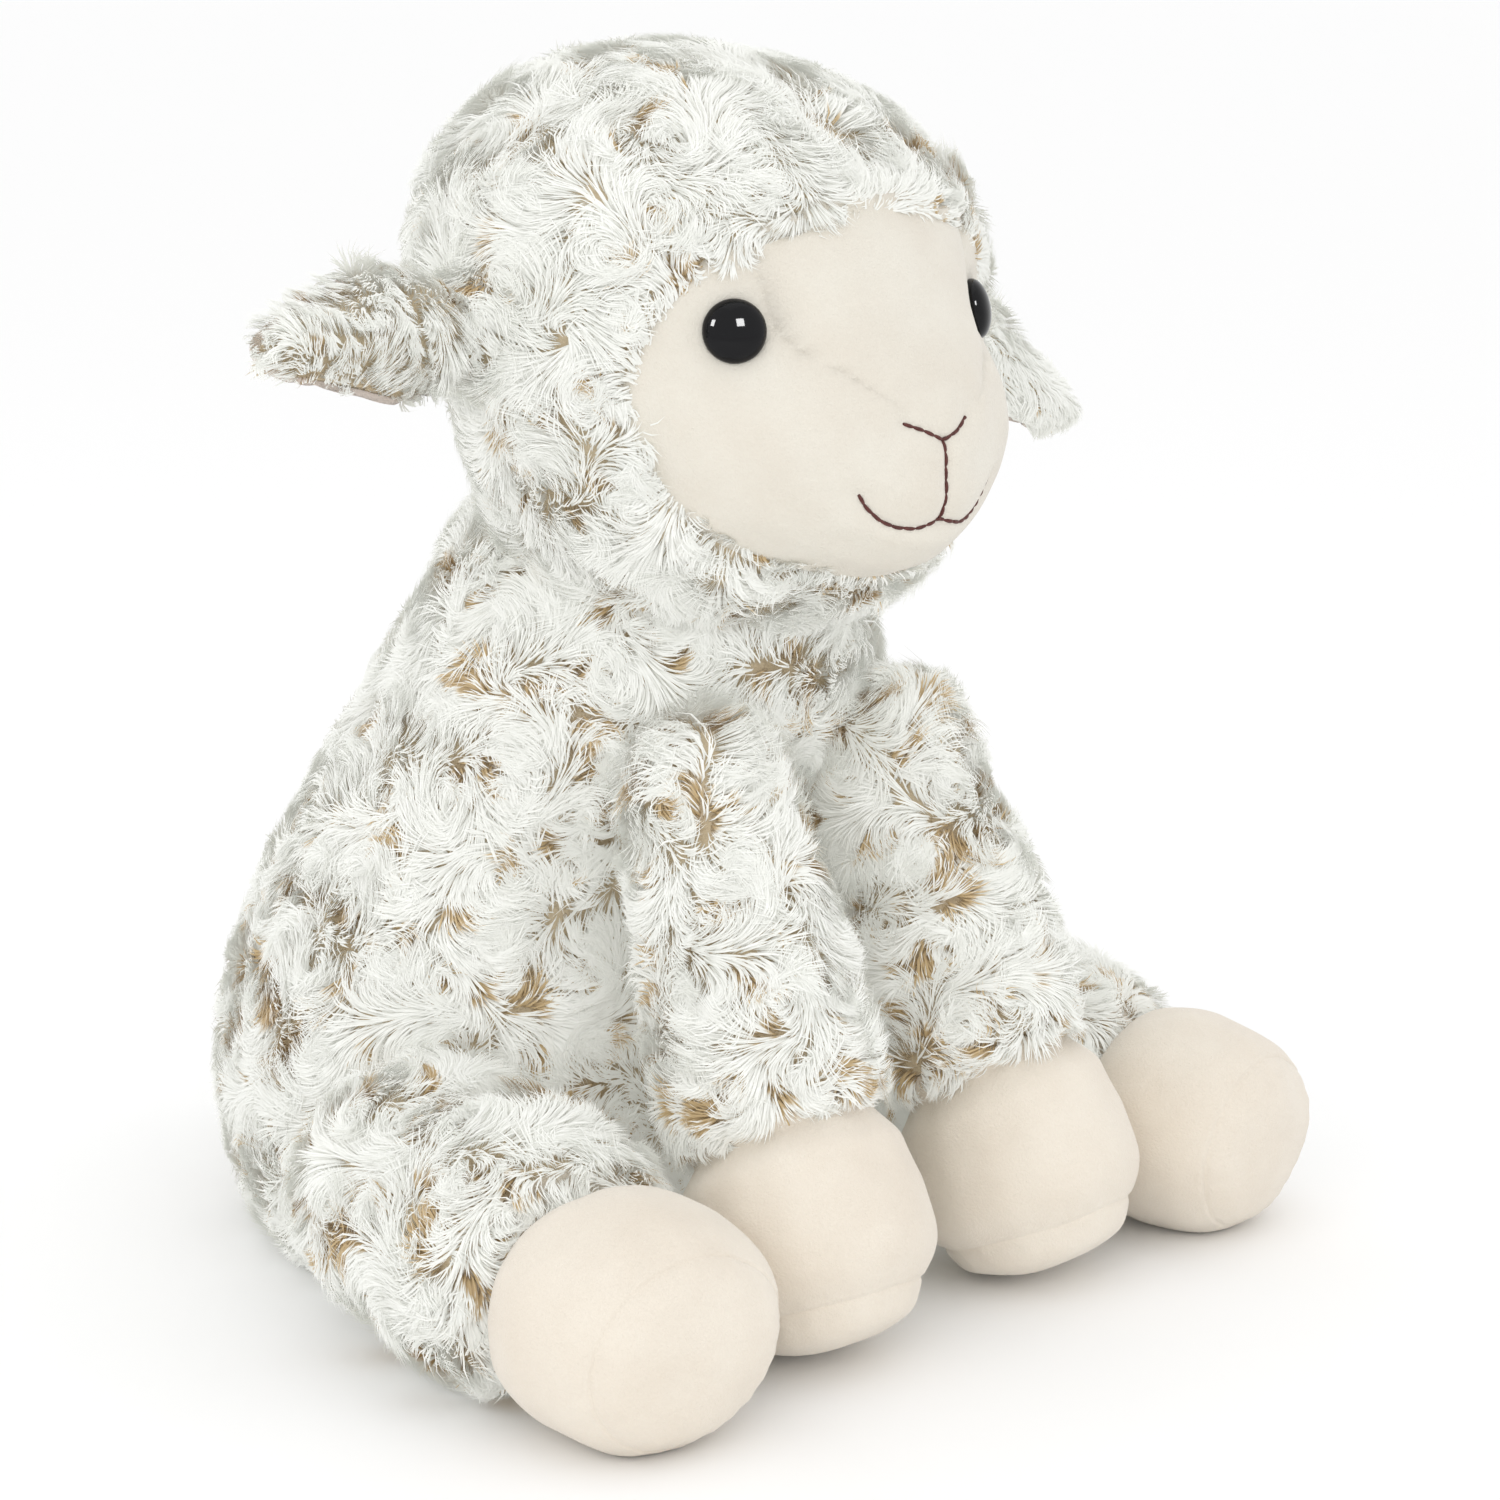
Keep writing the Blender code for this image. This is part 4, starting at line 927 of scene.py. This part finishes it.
def away_from_face(points, lie):
    """Pile near the rim lies away from the face, and hangs a little over the brow."""
    past, around = past_rim(points)
    outward = points - HEAD_MIDDLE
    outward = unit(outward - (outward @ face_axis)[:, None] * face_axis)
    close = bell(past / 0.14)
    brow = np.clip(np.cos(around), 0, 1) ** 2
    pull = (1.1 * soft_noise(points, 16 * MM, 77) + 0.1 - 1.2 * brow) * close
    inward = np.minimum((lie * outward).sum(-1), 0) * close
    return lie + outward * (pull - 0.9 * inward)[:, None]


def short_at_rim(points):
    """Strands are trimmed beside the face, to only just cover its seam."""
    past = past_rim(points)[0]
    return 1 - 0.38 * bell(np.maximum(past, 0) / 0.10) - 0.14 * (past < 0)


def on_hood(points, normals):
    """All but the disc inside the neck's seam."""
    above = (points - neck_place) @ neck_axis
    facing_down = -(normals @ neck_axis)
    return (above > 3 * MM) | (facing_down < 0.8)


for part, sign in {"left": 1, "right": -1}.items():
    def half_of_hood(points, normals):
        return (points[..., 0] * sign > 0) & on_hood(points, normals)
    grow_fur("hood_pile_" + part, hood_form, "head", 200 + sign, half_of_hood, away_from_face,
             short_at_rim, share=0.34)

# %% [markdown]
# ### Eyes and stitches
#
# A safety eye is a low glossy dome on a stalk.  The nose and mouth are backstitched
# with a doubled thread, so each stitch is a bead that dips in at both ends.


# %% Turned pieces and threads
def turned_points(profile, place, axis, cols=48):
    """Rings of a profile of (radius, height) pairs round an axis: the two ends have radius 0."""
    ring = circle(cols, *square_to(axis, (0.0, 0.31, 0.95)))
    radius, height = np.array(profile).T[..., None, None]
    return place + radius * ring + height * axis


def eye_axis(points):
    """The back of an eye, and the way it looks: the main axis that points out of the head."""
    middle = points.mean(0)
    axes = svd(points - middle, full_matrices=False)[2]
    out = unit(middle - HEAD_MIDDLE)
    axis = axes[np.argmax(np.abs(axes @ out))]
    axis = axis if axis @ out > 0 else -axis
    return middle + axis * ((points - middle) @ axis).min(), axis


for side in ("left", "right"):
    points = np.unique(node_points("eye_" + side).round(6), axis=0)
    stalk, axis = eye_axis(points)
    stalk = stalk - axis * EYE_SINK
    off = points - stalk
    height = off @ axis - EYE_SINK
    wide = norm(off - (off @ axis)[:, None] * axis, axis=-1)
    radius, top = wide.max(), height.max()
    rim = height[wide > 0.99 * radius].min()
    spring = rim + 0.9 * MM                                   # where the dome's curve starts
    arc = np.linspace(0.0, math.pi / 2, 14)
    dome = [(radius * math.cos(a), spring + (top - spring) * math.sin(a)) for a in arc[:-1]]
    stalk_radius, rounding = 1.6 * MM, 0.4 * MM
    profile = [(0.0, 0.0), (stalk_radius, 0.0), (stalk_radius, rim), (radius - rounding, rim),
               (radius, rim + rounding)] + dome + [(0.0, top)]
    mesh = closed_mesh("eye_dome_" + side, turned_points(profile, stalk, axis))
    add_piece("eye_dome_" + side, mesh, "head", eye_gloss, ["eye_" + side])
    washer = frame["nodes"]["eye_washer_" + side].data
    washer.materials.clear()
    washer.materials.append(washer_plastic)


def stitched_tube(name, line, radius, stitch):
    """A tube along a line whose radius and height swell once per stitch, as |sin|^0.5 does."""
    run = np.concatenate([[0.0], np.cumsum(norm(np.diff(line, axis=0), axis=-1))])
    swell = np.abs(np.sin(math.pi * run / stitch)) ** 0.5
    outward = unit(line - HEAD_MIDDLE)
    along = unit(np.gradient(line, axis=0))
    side = unit(np.cross(along, outward))
    rise = np.cross(side, along)
    thick = radius * (0.62 + 0.38 * swell)
    centre = (line + outward * (0.35 * MM * (swell - 0.55))[:, None])[:, None]
    rings = centre + thick[:, None, None] * circle(10, side[:, None], rise[:, None])
    ends = np.repeat(centre[[0, -1]], 10, 1)
    grid = np.concatenate([ends[:1], rings, ends[1:]])
    add_piece(name, closed_mesh(name, grid), "head", thread)


THREAD_RADIUS, STITCH_LENGTH = 0.46 * MM, 3.2 * MM
for name, knots in stitch_lines.items():
    line = face_points_at(*smooth_line(knots, 30 * len(knots)).T)
    stitched_tube(name, line, THREAD_RADIUS, STITCH_LENGTH)

# %% [markdown]
# ## Ears
#
# An ear is a flat leaf, fur outside and velboa inside.  Its long way runs from
# its joint to its tip, and its flat side is where the frame's two layers meet.


# %% Ears
def make_ear(side):
    """Furry leaf with its lining, from the frame's two layers."""
    root = np.array(joints["ear_flop_" + side]["pos_m"])
    names = ["ear_fur_" + side, "ear_lining_" + side]
    points = node_points(*names)
    tip = points[np.argmax(norm(points - root, axis=-1))]
    along = unit(tip - root)
    face_out = node_points(names[0]).mean(0) - node_points(names[1]).mean(0)
    face_out = unit(face_out - along * (face_out @ along))
    length = norm(tip - root)

    def out_at(points):
        """Share of the way from the root to the tip."""
        return (points - root) @ along / length

    low, high = (root + along * share * length + face_out * 3.0 * MM for share in (0.10, 0.86))
    form = read_form(names, *line_rays(low, high, 56, 64, 0.16, face_out), 3)
    wide_way = np.cross(along, face_out)
    far = np.clip((out_at(form.points) - 0.2) / 0.6, 0, 1)
    narrowing = 0.27 * far * far * (3 - 2 * far)
    form = Form(form.points - (((form.points - root) @ wide_way) * narrowing)[..., None] * wide_way)
    outer_side = np.clip(0.5 + 1.6 * (form.normals @ face_out), 0, 1)
    at_root = 4.0 * np.clip(1.5 - out_at(form.points) / 0.12, 0, 1)
    body = "ear_" + side
    padded_skin("ear_skin_" + side, form.pushed(-(3.4 - 1.4 * outer_side + 0.5 * at_root) * MM), body,
                names[:1], backing_cloth)
    padded_skin("ear_velboa_" + side, form.pushed(-(0.7 + 3.2 * outer_side + at_root) * MM), body,
                names[1:], ear_velboa)

    def furry(points, normals):
        far = out_at(points)
        outside = (normals @ face_out) > -0.10 - 0.45 * normals[..., 2]
        return (outside | (far < 0.16)) & (far > 0.02)

    def towards_tip(points, lie):
        return 0.5 * lie + along * (0.7 + 0.6 * np.clip(out_at(points), 0, 1))[:, None]

    def short_at_tip(points):
        return 1 - 0.35 * np.clip(out_at(points), 0, 1) ** 3

    grow_fur("ear_pile_" + side, form, body, 300, furry, towards_tip, short_at_tip, 0.78, share=0.38)


for side in ("left", "right"):
    make_ear(side)

# %% [markdown]
# ## Legs
#
# Each leg is a furry sleeve with a velboa hoof, and a round sole sewn into the
# hoof's end.  One form is read for the whole leg, with its rings packed close at
# the sole's seam, and cut between rings into the sleeve and the hoof.

# %% Legs
LEG_COLS = 96
BACK_RINGS, SLEEVE_RINGS = 12, 28
SEAM_GATHERS = 24


def make_leg(kind, side):
    """Sleeve and hoof of one leg, from its joint down to the middle of its sole."""
    body = f"{kind}_leg_{side}"
    fur, hoof, sole = (f"{kind}_{part}_{side}" for part in ("leg_fur", "hoof", "sole"))
    root = np.array(joints[f"{kind}_leg_swing_{side}"]["pos_m"])
    axis = unit(node_points(sole).mean(0) - root)
    run = {name: (node_points(name) - root) @ axis for name in (fur, hoof, sole)}
    hem, seam = np.percentile(run[fur], 99), run[sole].min()
    first, second = square_to(axis)

    def turn_of(points):
        return np.arctan2((points - root) @ second, (points - root) @ first) % math.tau

    rim_turns = np.linspace(0.0, math.tau, 48)
    near_rim = np.cos(turn_of(node_points(fur))[None] - rim_turns[:, None]) > math.cos(0.3)
    rim_runs = np.where(near_rim, run[fur][None], 0.0).max(1)

    hem_laps = (5.0 if kind == "hind" else 0.5) * MM

    def past_hem(points):
        return (points - root) @ axis - np.interp(turn_of(points), rim_turns, rim_runs) - hem_laps

    level = np.concatenate([np.linspace(0.0, hem - 8 * MM, SLEEVE_RINGS),
                            np.arange(hem - 7.2 * MM, seam - 4.3 * MM, 0.9 * MM),
                            np.arange(seam - 4 * MM, seam + 3.2 * MM, 0.4 * MM)])
    back_slope = np.radians(np.linspace(-90, -8, BACK_RINGS))
    front_slope = np.linspace(math.atan2(14 * MM, 23 * MM), math.pi / 2, 22)
    slope = np.concatenate([back_slope, 0 * level, front_slope])
    centre = np.concatenate([0 * back_slope, level, 0 * front_slope + level[-1] - 13 * MM])
    ways = sloped(circle(LEG_COLS, first, second), slope, axis)
    starts = root + centre[:, None, None] * axis
    reach = soften(last_wall([fur, hoof, sole], starts, ways), 0)
    whole = Form(eased(starts + ways * reach[..., None], 7))
    cut_hem = BACK_RINGS + SLEEVE_RINGS

    off_seam = ((whole.points - root) @ axis - seam) / MM
    swell = 1.4 * MM * bell((off_seam + 11) / 9) + 1.6 * MM * bell((off_seam - 7) / 5)
    if kind == "hind":
        swell += 3.2 * MM * bell((off_seam + 26) / 13)
    valley = 1.3 * MM * bell(off_seam / 3.5) + 0.6 * MM * bell(off_seam / 0.8)
    gathers = np.sin(SEAM_GATHERS * np.linspace(0.0, math.tau, LEG_COLS, endpoint=False))
    pucker = 0.16 * MM * gathers * bell((np.abs(off_seam) - 2.2) / 1.6)
    lumps = (soft_noise(whole.points, 13 * MM, 95) - 0.5) * 1.3 * MM
    tuck = 4.5 * MM * np.clip((-0.5 * MM - past_hem(whole.points)) / (4 * MM), 0, 1)
    skin = whole.pushed(swell - valley + pucker + lumps - tuck).points[cut_hem:]
    skin[..., 2] = np.maximum(skin[..., 2], 0.2 * MM)
    pole = np.broadcast_to(root + axis * (hem - 9 * MM), skin[:1].shape)
    pillow = closed_mesh("hoof", np.concatenate([pole, skin]))
    hoof_piece = add_piece(f"{kind}_hoof_velboa_{side}", pillow, body, hoof_velboa,
                           [hoof, sole, f"{kind}_leg_filling_{side}"])

    sleeve = whole.pushed(-SKIN_DEPTH).points[:cut_hem + 2]
    end_pole = np.broadcast_to(root + axis * (hem - 5 * MM), sleeve[:1].shape)
    sleeve = Form(np.concatenate([sleeve, end_pole]))
    padded_skin(f"{kind}_sleeve_skin_{side}", sleeve, body, [fur], backing_cloth)

    def on_sleeve(points, normals):
        return past_hem(points) < -1.0 * MM

    def down_to_hoof(points, lie):
        return lie + axis * (0.15 + 1.5 * bell(past_hem(points) / (8 * MM)))[:, None]

    def short_at_hem(points):
        return 1 - 0.35 * bell(past_hem(points) / (7 * MM))

    grow_fur(f"{kind}_leg_pile_{side}", whole, body, 400 + len(body), on_sleeve, down_to_hoof,
             short_at_hem, share=1.0)


for kind, side in itertools.product(("front", "hind"), ("left", "right")):
    make_leg(kind, side)

# %% [markdown]
# ## Tail
#
# The tail is a small plump drop of the same fur.

# %% Tail
tail_root = np.array(joints["tail_wag"]["pos_m"])
tail_points = node_points("tail")
tail_tip = tail_points[np.argmax(norm(tail_points - tail_root, axis=-1))]
tail_ends = (tail_root + share * (tail_tip - tail_root) for share in (0.2, 0.75))
tail_form = read_form(["tail"], *line_rays(*tail_ends, 32, 40), 3)
padded_skin("tail_skin", tail_form.pushed(-3.5 * MM), "tail_piece", ["tail"], backing_cloth)
grow_fur("tail_pile", tail_form, "tail_piece", 500, size=0.9, share=0.4)

# %% [markdown]
# ## Floor
#
# The toy sits on a plain pale floor that is wide enough to fill the view.

# %% Floor
floor_material, tree, shader = new_material("pale_floor")
feed(tree, shader, Base_Color=(0.96, 0.96, 0.96, 1.0), Roughness=0.9)
floor_points = FLOOR_SIZE / 2 * np.array([(-1, -1, 0), (1, -1, 0), (1, 1, 0), (-1, 1, 0)])
floor = bpy.data.objects.new("floor", mesh_from("floor", floor_points, np.arange(4), np.array([4])))
bpy.context.collection.objects.link(floor)
floor.data.materials.append(floor_material)
